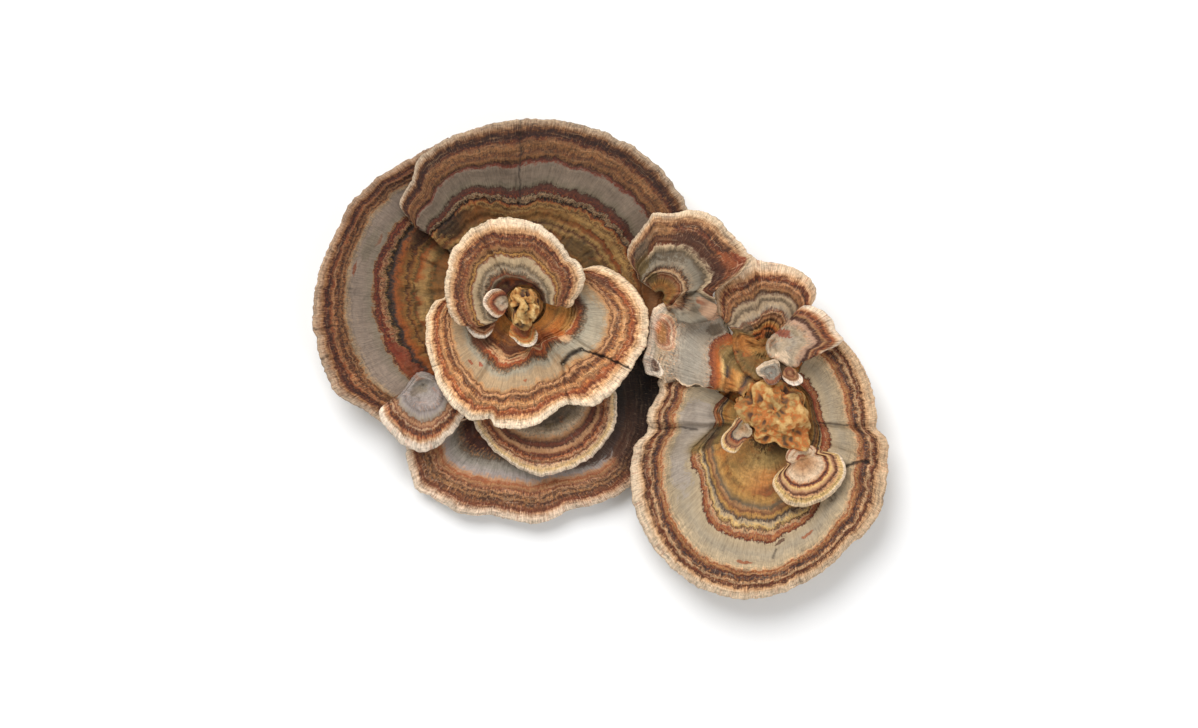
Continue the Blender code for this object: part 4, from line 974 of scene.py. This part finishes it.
brackets["rosette_lower_bracket"] = dict(
    tintAndShade=(1.34, 1.31, 1.17), centre=(-19.5, 12.6), span=(-200, 50), columns=30, zones=bigZones,
    fine=(540, 90, 14), seed=7, slot="zoned_skin",
    margin=[(-200, 19), (-189, 20.5), (-186, 22.5), (-182, 24), (-175, 25), (-162, 26.5), (-145, 28),
            (-137, 29.5), (-129, 30.5), (-116, 31.5), (-107, 29.5), (-103, 31), (-84, 30), (-75, 28),
            (-64, 27), (-55, 30.5), (-45, 31.5), (-28, 32), (-15, 33), (-1, 32.5), (10, 30), (22, 26),
            (30, 23), (38, 17), (50, 16)],
    inner=[(-200, 13.5), (-180, 13.5), (-131, 14), (-98, 14), (-87, 13), (-75, 10), (-49, 10.5),
           (-30, 12.5), (-20, 13.5), (3, 14.5), (39, 12.5), (50, 12)],
    thick=(2.0, 1.3), stemLevels=(17.9, 15.9), clearOf="left_stem_knob", folds=[-57, -122], splits=[-31],
    drift=[(-200, 0.02), (-170, 0.01), (-150, -0.01), (-130, 0.0), (-107, -0.03), (-95, 0.02), (-78, -0.01),
           (-66, -0.06), (-58, -0.02), (-50, 0.02), (-30, 0.0), (-5, 0.0), (12, 0.03), (30, 0.06),
           (50, 0.06)],
    pale=[(-200, 0.3), (-160, 0.6), (-130, 1), (-60, 1), (-30, 0.8), (0, 0.5), (50, 0.4)],
    cracks=[dict(path=[(-28.4, 1.02), (-29.6, 0.82), (-33.8, 0.655)], width=0.34, depth=0.9),
            dict(path=[(-33.8, 0.655), (-43.4, 0.64), (-53.8, 0.67)], width=0.75, depth=1.2),
            dict(path=[(-53.8, 0.67), (-58, 0.77), (-62, 0.89), (-63.5, 1.02)],
                 width=0.4, depth=0.7, shade=0.45),
            dict(path=[(-107, 1.02), (-108, 0.93)], width=0.3, depth=0.4, shade=0.5),
            dict(path=[(-148, 1.02), (-147, 0.92)], width=0.25, depth=0.4, shade=0.6)],
    stainsAndShade=[(-12, 0.33, 36, 0.13, "gold", 1), (-25, 0.28, 24, 0.07, "orange", 0.7),
            (-50, 0.36, 16, 0.1, "rust", 0.9), (-33, 0.4, 5, 0.11, "orange", 1),
            (-34, 0.52, 5, 0.03, "cream", 0.9), (-20, 0.63, 34, 0.08, "greyBlue", 0.7),
            (-135, 0.66, 2.5, 0.012, "redRust", 1), (-128, 0.61, 2.5, 0.012, "redRust", 1),
            # the maroon patch at 12 degrees: painted shade at the end of the upper bracket
            (-88, 0.66, 2, 0.01, "rust", 0.8), (12, 0.46, 14, 0.09, "maroon", 0.9),
            (-146, 0.42, 14, 0.12, "darkBrown", 0.9), (-100, 0.31, 34, 0.06, "maroon", 0.8),
            (-80, 0.42, 12, 0.04, "cream", 0.9), (-118, 0.42, 10, 0.04, "cream", 0.7),
            (20, 0.85, 12, 0.05, "maroon", 0.7)],
    bands=[(0, "ochre", 0), (0.12, "ochre", 0), (0.22, "brown", 0), (0.30, "ochre", 0),
           (0.35, "redBrown", -0.1), (0.375, "tan", 0.15), (0.40, "maroon", -0.1), (0.42, "cream", 0.15),
           (0.445, "redRust", -0.1), (0.462, "cream", 0.15), (0.485, "redRust", 0), (0.505, "rust", 0.1),
           (0.525, "darkBrown", -0.1), (0.545, "greyDark", 0), (0.58, "greyBlue", 0.05), (0.63, "dun", 0.1),
           (0.69, "dun", 0.1), (0.725, "sand", 0.05), (0.738, "darkBrown", -0.1), (0.755, "tan", 0.1),
           (0.775, "darkBrown", -0.1), (0.80, "brown", 0.05), (0.82, "sand", 0.1), (0.838, "tan", 0.1),
           (0.855, "brown", -0.1), (0.875, "rust", 0.05), (0.895, "redBrown", -0.1), (0.915, "tan", 0.1),
           (0.945, "cream", 0.1), (1, "ivory", 0)])

brackets["tucked_cap"] = dict(
    centre=(-29.7, 10.0), span=None, columns=12, zones=smallZones, fine=(84, 26, 8), seed=8,
    slot="young_skin",
    margin=[(-156, 4.5), (-99, 4.5), (-81, 5), (-66, 4.5), (20, 3), (90, 2.5), (155, 3.5)], inner=None,
    grown=[(-162, 4.6), (-122, 4.95), (-93, 4.9), (-66, 4.3), (-29, 3.4), (20, 3), (90, 2.5), (155, 3.5)],
    thick=(1.1, 0.9), pale=[(-90, 1), (90, 0.4)], rimFrom=0.86, droop=[(-180, 0.5), (0, 0.5), (170, 0.5)],
    free=[(-150, 1), (-60, 1), (0, 0.5), (150, 0.5)],
    bands=[(0, "black", 0), (0.35, "darkBrown", 0), (0.55, "brown", 0.05), (0.64, "tan", 0.05),
           (0.71, "rust", 0), (0.78, "tan", 0.05), (0.85, "pink", 0.05), (0.9, "white", 0.05),
           (1, "white", 0)])

brackets["rosette_upper_bracket"] = dict(
    tintAndShade=(1.02, 0.99, 0.88), centre=(-21.4, 15.6), span=(-12, 229), columns=26, zones=midZones,
    fine=(460, 80, 12), seed=9, slot="zoned_skin",
    margin=[(-12, 13.5), (-6, 15), (-1, 15.5), (7, 17.5), (16, 18.5), (26, 19), (36, 18), (50, 18.5),
            (63, 19.5), (75, 20), (99, 21), (121, 21), (145, 20), (157, 19), (182, 18), (202, 16.5),
            (209, 15), (220, 11.5), (229, 7.5)],
    inner=[(-12, 6.5), (28, 6.5), (57, 5.5), (147, 7), (229, 6)], thick=(1.9, 1.2), stemLevels=(22.2, 20.3),
    clearOf="left_stem_knob", folds=[117], cutShort=True,
    free=[(-12, 0.94), (-4, 1), (200, 1), (206, 0.97), (210, 0.9), (215, 0.82), (220, 0.75), (229, 0.57)],
    drift=[(-12, 0.05), (5, 0.04), (25, 0.02), (50, 0.0), (75, 0.0), (95, 0.03), (115, -0.01), (160, 0.0),
           (190, -0.01), (210, -0.05), (229, -0.08)],
    pale=[(-12, 0.3), (30, 0.8), (70, 0.9), (110, 0.5), (160, 0.6), (229, 0.4)],
    bands=[(0, "maroon", 0), (0.26, "maroon", 0), (0.33, "redBrown", 0), (0.38, "greyDark", 0),
           (0.44, "grey", 0), (0.50, "redBrown", 0), (0.525, "greyDark", 0), (0.56, "grey", 0.05),
           (0.59, "greyDark", 0), (0.63, "greyBeige", 0.1), (0.67, "greyBeige", 0.05),
           (0.695, "redBrown", -0.1), (0.71, "gold", 0.1), (0.73, "darkBrown", -0.1), (0.745, "sand", 0.1),
           (0.775, "brown", 0), (0.80, "redBrown", 0.1), (0.83, "brown", 0.1), (0.855, "darkBrown", -0.1),
           (0.88, "redBrown", -0.05), (0.90, "tan", 0.1), (0.945, "cream", 0.1), (1, "ivory", 0)])

brackets["curled_cap"] = dict(
    centre=(-24.6, 14.3), span=None, columns=12, zones=smallZones, fine=(84, 26, 8), seed=10,
    slot="young_skin",
    margin=[(-160, 4.2), (-136, 4.0), (-114, 4.3), (-98, 4), (-75, 2.6), (-40, 1.8), (37, 1.8), (80, 3),
            (103, 4), (120, 4.2), (158, 4.4), (178, 4.7)],
    inner=None,
    grown=[(-160, 4.6), (-146, 4.35), (-111, 4.1), (-90, 3.2), (-75, 2.5), (-40, 1.8), (37, 1.8), (90, 3.4),
           (123, 4.3), (148, 4.8), (175, 5.0)],
    thick=(1.0, 0.9), stemLevels=(27.2, 26.2), clearOf="left_stem_knob", pale=[(-160, 0.8), (0, 0.2)],
    rimFrom=0.8, free=[(-180, 1), (-110, 1), (-80, 0.7), (-40, 0.4), (37, 0.4), (80, 0.7), (110, 1)],
    bands=[(0, "grey", 0), (0.35, "greyBeige", 0), (0.5, "redBrown", 0), (0.65, "rust", 0.05),
           (0.78, "tan", 0.05), (0.88, "cream", 0.05), (1, "ivory", 0)])

brackets["knob_cap"] = dict(
    centre=(-19.5, 6.9), span=None, columns=12, zones=smallZones, fine=(84, 26, 8), seed=11,
    slot="young_skin",
    margin=[(-163, 3.5), (-137, 3), (-103, 3.5), (-80, 4), (-39, 4.5), (-10, 4), (17, 3.5), (50, 3.6),
            (90, 3.8), (130, 3.6), (166, 3.5)],
    inner=None, thick=(1.3, 1.0), stemLevels=(25.4, 24.1), clearOf="left_stem_knob", stemOnly=True,
    pale=[(-90, 0.8), (90, 0.2)], rimFrom=0.8,
    free=[(-163, 0.8), (-140, 1), (-20, 1), (10, 0.8), (60, 0.3), (140, 0.4)],
    bands=[(0, "rust", 0), (0.3, "rust", 0), (0.42, "orange", 0.05), (0.55, "gold", 0.05),
           (0.68, "orange", 0.05), (0.8, "yellow", 0.05), (0.91, "ivory", 0.05), (1, "white", 0)])

brackets["saddle_bracket"] = dict(
    tintAndShade=(1.22, 1.2, 1.17), centre=(43.9, -10.6), span=(120, 169), columns=13, zones=midZones,
    fine=(150, 84, 12), seed=12, slot="zoned_skin",
    margin=[(120, 29.5), (126, 30.5), (138, 31.5), (144, 33), (152, 33), (163, 33.5), (169, 32)],
    inner=[(120, 20), (134, 20), (144, 17.5), (157, 15), (169, 14.5)], thick=(1.8, 1.2),
    stemLevels=(13.8, 12.0), clearOf="right_stem_core", pale=[(120, 0.3), (150, 0.7), (169, 1)],
    grown=[(120, 29.5), (126, 31), (132, 34.5), (137, 37.5), (142, 38), (147, 37), (152, 35.5), (157, 34.5),
           (163, 33.8), (169, 32)],
    lift=1.7,
    stainsAndShade=[(147, 0.885, 7.6, 0.095, "cream", 1, 5), (147, 0.888, 6.9, 0.086, "redRust", 1, 5),
            (147.2, 0.892, 6.2, 0.076, "ivory", 1, 5), (147.4, 0.897, 5.6, 0.067, "rust", 1, 5),
            (147.8, 0.905, 4.8, 0.055, "brown", 1, 4), (148, 0.91, 4.0, 0.045, "ochre", 1, 3),
            (146.5, 0.93, 2.4, 0.025, "orange", 1, 3), (164.4, 0.95, 4.6, 0.085, "white", 1, 5),
            (163.4, 0.94, 3.3, 0.055, "maroon", 1, 5), (169.5, 0.72, 1.5, 0.26, "ivory", 0.9, 4),
            (125, 0.85, 5, 0.1, "pink", 0.9), (150, 0.68, 12, 0.1, "greyBlue", 0.7),
            (130, 0.3, 10, 0.16, "olive", 0.8), (160, 0.3, 9, 0.12, "ochre", 0.8),
            (126, 0.62, 6, 0.08, "greyDark", 0.8)],
    wrinkle=1.0, waver=1.6, droop=[(120, 0), (158, 0), (165, -0.6), (169, -1.5)],
    bands=[(0, "gold", 0), (0.08, "indigo", -0.1), (0.14, "gold", 0.05), (0.25, "ochre", 0),
           (0.31, "indigo", -0.1), (0.36, "yellow", 0.1), (0.42, "orange", 0.1), (0.48, "rust", 0.1),
           (0.52, "redBrown", 0.05), (0.54, "grey", 0), (0.68, "greyBlue", 0.1), (0.8, "grey", 0.05),
           (0.9, "greyBeige", 0.1), (0.955, "grey", 0.1), (0.975, "cream", 0.1), (1, "ivory", 0)])

brackets["shoulder_bracket"] = dict(
    tintAndShade=(0.98, 0.93, 0.85), centre=(43.1, 3.6), span=None, columns=20, zones=midZones, fine=(280, 60, 10),
    seed=13, slot="zoned_skin",
    margin=[(-153, 8.5), (-124, 9), (-90, 10), (-57, 9), (-27, 7.5), (11, 6.5), (34, 8.5), (41, 16.5),
            (47, 19.5), (57, 21), (75, 21.5), (94, 22), (98, 23), (110, 23), (123, 21.5), (134, 19),
            (142, 16), (147, 14), (153, 11), (160, 9)],
    inner=[(-153, 4), (-90, 4), (-27, 3.5), (11, 3.5), (56, 9), (74, 9), (88, 8.5), (115, 7), (161, 6)],
    thick=(1.8, 1.2), stemLevels=(14, 12.2), clearOf="right_stem_core", folds=[96],
    drift=[(-180, 0), (40, 0.03), (60, 0.01), (90, 0.0), (105, 0.05), (125, 0.0), (150, -0.05), (180, 0)],
    pale=[(-150, 0.2), (50, 0.3), (90, 0.6), (120, 0.7), (160, 0.2)],
    free=[(-180, 0.3), (-60, 0.3), (11, 0.35), (30, 0.45), (36, 0.85), (41, 1), (145, 1), (150, 0.8),
          (155, 0.5), (165, 0.35), (180, 0.3)],
    stainsAndShade=[(-100, 0.25, 60, 0.2, "olive", 0.8), (150, 0.35, 14, 0.14, "olive", 0.7),
            (172, 0.2, 20, 0.14, "ochre", 0.8), (135, 0.45, 14, 0.12, "greyDark", 0.6),
            (70, 0.16, 22, 0.05, "black", 1), (100, 0.2, 12, 0.08, "orange", 0.8),
            (-30, 0.25, 30, 0.12, "greyDark", 0.8)],
    wrinkle=1.2, rough=1.8,
    bands=[(0, "ochre", 0), (0.12, "gold", 0), (0.2, "orange", 0.05), (0.25, "black", -0.1),
           (0.29, "orange", 0.1), (0.35, "gold", 0.1), (0.385, "darkBrown", -0.1), (0.42, "sand", 0.05),
           (0.47, "brown", 0), (0.505, "cream", 0.1), (0.52, "redBrown", -0.1), (0.56, "grey", 0.05),
           (0.61, "greyBeige", 0.1), (0.64, "greyDark", 0), (0.69, "greyBeige", 0.1),
           (0.73, "darkBrown", -0.1), (0.755, "sand", 0.1), (0.79, "brown", 0.1), (0.82, "tan", 0.1),
           (0.85, "darkBrown", -0.1), (0.885, "redBrown", 0), (0.91, "tan", 0.1), (0.95, "cream", 0.05),
           (1, "ivory", 0)])

brackets["junction_bracket"] = dict(
    tintAndShade=(0.84, 0.81, 0.73), rimFrom=0.955, centre=(15.8, 16.4), span=(-55, 140), hub=1.2, columns=20,
    zones=midZones, fine=(360, 70, 12), seed=14, slot="zoned_skin",
    margin=[(-55, 8.5), (-51, 9), (-19, 15.5), (-5, 14.5), (3, 14), (10, 17.5), (14, 21), (17, 23),
            (22, 26), (26, 25.5), (44, 24), (49, 24.5), (62, 24.5), (72, 23), (76, 22), (86, 21),
            (95, 21.5), (99, 19.5), (105, 18), (127, 14), (132, 12), (136, 8.5), (140, 7)],
    inner=[(-55, 3.6), (-49, 4), (-25, 4.4), (-5, 5), (20, 6.5), (69, 6.5), (140, 6)], thick=(1.9, 1.2),
    folds=[7, 97],
    drift=[(-55, 0.02), (-10, 0.0), (2, -0.02), (12, -0.02), (25, 0.0), (90, 0.0), (110, 0.03),
           (140, 0.05)],
    pale=[(-55, 0.6), (-10, 0.4), (10, 0.3), (60, 0.5), (100, 0.45), (140, 0.5)], wrinkle=0.6,
    cutShort=True, free=[(-55, 0.64), (-40, 0.64), (-20, 0.64), (-8, 0.67), (2, 0.8), (8, 1), (140, 1)],
    stainsAndShade=[(-14, 0.62, 12, 0.035, "pink", 1), (-10, 0.59, 3, 0.02, "rust", 0.8),
            (-45, 0.56, 12, 0.06, "greyBlue", 0.7), (125, 0.7, 18, 0.12, "olive", 0.8),
            (25, 0.86, 10, 0.06, "rust", 0.9), (22, 0.93, 7, 0.04, "redRust", 0.8),
            (60, 0.8, 18, 0.05, "darkBrown", 0.7), (90, 0.86, 12, 0.06, "sand", 0.7),
            (-30, 0.4, 14, 0.1, "rust", 0.8), (115, 0.4, 20, 0.14, "olive", 0.7),
            (50, 0.75, 30, 0.06, "darkBrown", 0.7), (112, 0.85, 12, 0.07, "greyDark", 0.8),
            (75, 0.62, 30, 0.06, "greyDark", 0.5), (20, 0.77, 12, 0.05, "maroon", 0.7)],
    bands=[(0, "olive", 0), (0.15, "ochre", 0), (0.26, "gold", 0.05), (0.34, "tan", 0),
           (0.40, "rust", 0.05), (0.43, "cream", 0.1), (0.455, "redRust", -0.1), (0.475, "ivory", 0.15),
           (0.505, "cream", 0.1), (0.525, "darkBrown", -0.1), (0.55, "grey", 0.05), (0.62, "greyBlue", 0.1),
           (0.66, "greyDark", 0), (0.69, "greyBeige", 0.1), (0.72, "ivory", 0.1), (0.735, "redBrown", -0.1),
           (0.77, "brown", 0.1), (0.80, "darkBrown", -0.1), (0.83, "brown", 0.1), (0.86, "redBrown", 0),
           (0.885, "darkBrown", -0.1), (0.915, "brown", 0.1), (0.945, "tan", 0.1), (0.975, "cream", 0.1),
           (1, "ivory", 0)])

brackets["notch_bracket"] = dict(
    centre=(45.6, 3.6), span=None, columns=16, zones=smallZones, fine=(180, 44, 8), seed=15,
    slot="zoned_skin",
    margin=[(-120, 3.5), (-74, 4.5), (-46, 8), (-31, 8.5), (-9, 12.5), (3, 17.5), (15, 16.5), (24, 16.5),
            (50, 13.5), (57, 11.5), (64, 6), (100, 3), (180, 2.5)],
    inner=None, thick=(1.5, 1.1), pale=[(-60, 0.8), (0, 0.5), (60, 0.5)],
    free=[(-180, 0.2), (-100, 0.25), (-74, 0.35), (-46, 0.55), (-20, 0.8), (-5, 1), (55, 1), (62, 0.6),
          (80, 0.3), (180, 0.2)],
    stainsAndShade=[(60, 0.3, 30, 0.1, "redRust", 0.9), (-70, 0.28, 40, 0.12, "ivory", 0.8)],
    bands=[(0, "grey", 0), (0.15, "greyBeige", 0), (0.29, "grey", 0.05), (0.45, "greyBeige", 0.05),
           (0.6, "pink", 0.05), (0.655, "darkBrown", -0.1), (0.70, "darkBrown", -0.05), (0.74, "sand", 0.1),
           (0.79, "redBrown", 0.05), (0.83, "darkBrown", -0.05), (0.87, "rust", 0.1), (0.91, "tan", 0.1),
           (0.95, "cream", 0.1), (1, "ivory", 0)])

brackets["fold_cap"] = dict(
    centre=(44.8, -3.4), span=None, columns=12, zones=smallZones, fine=(84, 26, 8), seed=16,
    slot="young_skin",
    margin=[(-148, 2), (-88, 3.5), (-37, 2.5), (25, 2.5), (73, 3), (104, 3), (146, 3.5), (179, 4.2)],
    inner=None,
    grown=[(-148, 3.0), (-105, 3.5), (-40, 3.1), (25, 2.6), (66, 3.4), (104, 3.2), (146, 3.6), (176, 4.2)],
    thick=(1.0, 0.9), pale=[(-90, 0.2), (150, 0.6)],
    stainsAndShade=[(125, 0.92, 75, 0.24, "ivory", 1), (-75, 0.9, 60, 0.3, "rust", 0.9),
            (-60, 1.0, 50, 0.14, "darkBrown", 0.9)],
    ridge=0.3, bands=[(0, "greyBlue", 0), (0.4, "greyBlue", 0), (0.75, "grey", 0), (1, "greyDark", 0)])

brackets["tiny_cap"] = dict(
    centre=(49.5, -3.6), span=None, columns=12, zones=smallZones, fine=(84, 26, 8), seed=17,
    slot="young_skin",
    margin=[(-171, 2.2), (-96, 3), (-52, 4), (-22, 3.5), (2, 2), (41, 1.5), (129, 1.8), (172, 2)],
    inner=None, thick=(1.0, 0.9), pale=[(-60, 1), (120, 0.4)], rimFrom=0.7,
    free=[(-171, 0.6), (-120, 1), (-20, 1), (10, 0.6), (90, 0.4), (150, 0.4)],
    bands=[(0, "tan", 0), (0.3, "redBrown", 0), (0.45, "sand", 0), (0.62, "brown", 0.05),
           (0.75, "cream", 0.05), (1, "white", 0)])

brackets["double_cap"] = dict(
    centre=(52.8, -26.1), span=None, columns=16, zones=smallZones, fine=(200, 48, 8), seed=18,
    slot="young_skin",
    margin=[(-162, 4.5), (-154, 6.5), (-147, 9), (-138, 10.5), (-128, 11), (-114, 12), (-97, 12.5),
            (-66, 12), (-31, 12), (-16, 12), (-2, 11), (10, 9.5), (17, 7), (25, 5.5), (56, 4.5), (79, 4.5),
            (129, 4.5), (173, 4.5)],
    inner=None, thick=(1.7, 1.2), stemLevels=(14, 12.3), clearOf="right_stem_core",
    pale=[(-150, 0.5), (-60, 0.6), (0, 1), (90, 0.3)],
    stainsAndShade=[(115, 0.30, 72, 0.2, "ivory", 1, 4), (115, 0.13, 75, 0.04, "redRust", 1, 3),
            (112, 0.44, 70, 0.035, "rust", 1, 3), (112, 0.29, 60, 0.025, "tan", 0.9, 3)],
    free=[(-180, 0.5), (-165, 0.7), (-150, 1), (5, 1), (20, 0.9), (35, 0.6), (90, 0.5), (150, 0.5)],
    bands=[(0, "tan", 0), (0.15, "sand", 0), (0.3, "cream", 0), (0.45, "ivory", 0.05),
           (0.52, "cream", 0.05), (0.555, "rust", 0), (0.585, "indigo", -0.1), (0.61, "rust", 0),
           (0.65, "yellow", 0.1), (0.71, "tan", 0.05), (0.75, "brown", 0), (0.785, "darkBrown", -0.1),
           (0.82, "tan", 0.05), (0.88, "yellow", 0.1), (1, "yellow", 0)])

brackets["side_cap"] = dict(
    centre=(37.4, -18.0), span=None, columns=14, zones=smallZones, fine=(120, 36, 8), seed=19,
    slot="young_skin",
    margin=[(-175, 4), (-158, 6), (-145, 7), (-133, 7.5), (-111, 7), (-103, 6), (-90, 4), (-66, 3),
            (-25, 3), (25, 3), (75, 3), (110, 3.2), (154, 3)],
    inner=None, thick=(1.4, 1.0), stemLevels=(14, 12.6), clearOf="right_stem_core",
    pale=[(-150, 0.6), (30, 0.2)],
    free=[(-180, 1), (-100, 1), (-80, 0.7), (-50, 0.45), (25, 0.4), (75, 0.5), (110, 0.9), (150, 1)],
    bands=[(0, "tan", 0), (0.3, "greyBeige", 0), (0.42, "greyBeige", 0), (0.5, "indigo", -0.05),
           (0.58, "rust", 0), (0.68, "sand", 0.05), (0.76, "brown", 0), (0.82, "tan", 0.05),
           (0.9, "yellow", 0.05), (1, "yellow", 0)])

for name, spec in brackets.items():
    piece = growBracket(name, spec)
    piece.data.materials.append(zonedSkin(name + "_look", spec))
    print("grown", piece.name, len(piece.data.polygons))

for name, spec in stems.items():
    piece = growStem(name, spec)
    piece.data.materials.append(wartyFlesh(name + "_look", spec))
    print("grown", piece.name, len(piece.data.polygons))

# camera, floor and light; the view in mm, the lamps in metres
view = dict(x=0.13, y=-1.30, level=12.0, distance=1000.0, width=311.48, sensor=36.0)
lamps = dict(
    window=dict(place=(-0.35, 0.75, 1.05), size=0.9, power=16.5),
    fill=dict(place=(0.7, -0.5, 0.9), size=0.8, power=4))
sky = dict(colour=(1, 1, 1, 1), strength=0.47)
floorLook = dict(colour=(0.9, 0.9, 0.9, 1), roughness=0.9, height=0.5, strength=0.0, distance=0.001)

cameraData = bpy.data.cameras.new("camera")
cameraData.sensor_width = view["sensor"]
cameraData.lens = view["sensor"] * view["distance"] / view["width"]
cameraData.clip_start, cameraData.clip_end = 0.05, 20.0
camera = bpy.data.objects.new("camera", cameraData)
camera.location = ((view["x"] + shiftX) * mm, (view["y"] + shiftY) * mm,
                   (view["level"] + view["distance"]) * mm)
bpy.context.scene.collection.objects.link(camera)
bpy.context.scene.camera = camera

deselectAll()
bpy.ops.mesh.primitive_plane_add(size=4.0, location=(0, 0, 0))
floor = bpy.context.object
floor.name = "floor"
floor.data.materials.append(Graph("floor_paint").finish(**floorLook))


def softLamp(name, place, size, power):
    data = bpy.data.lights.new(name, "AREA")
    data.shape, data.size, data.energy = "DISK", size, power
    lamp = bpy.data.objects.new(name, data)
    lamp.location = place
    lamp.rotation_euler = (Vector((0, 0, 0.01)) - Vector(place)).to_track_quat("-Z", "Y").to_euler()
    bpy.context.scene.collection.objects.link(lamp)


for name, lamp in lamps.items():
    softLamp(name, **lamp)
world = bpy.data.worlds.new("sky")
world.use_nodes = True
background = world.node_tree.nodes["Background"]
background.inputs["Color"].default_value = sky["colour"]
background.inputs["Strength"].default_value = sky["strength"]
bpy.context.scene.world = world
bpy.context.scene.view_settings.view_transform = "Standard"
print("camera, floor and light set")
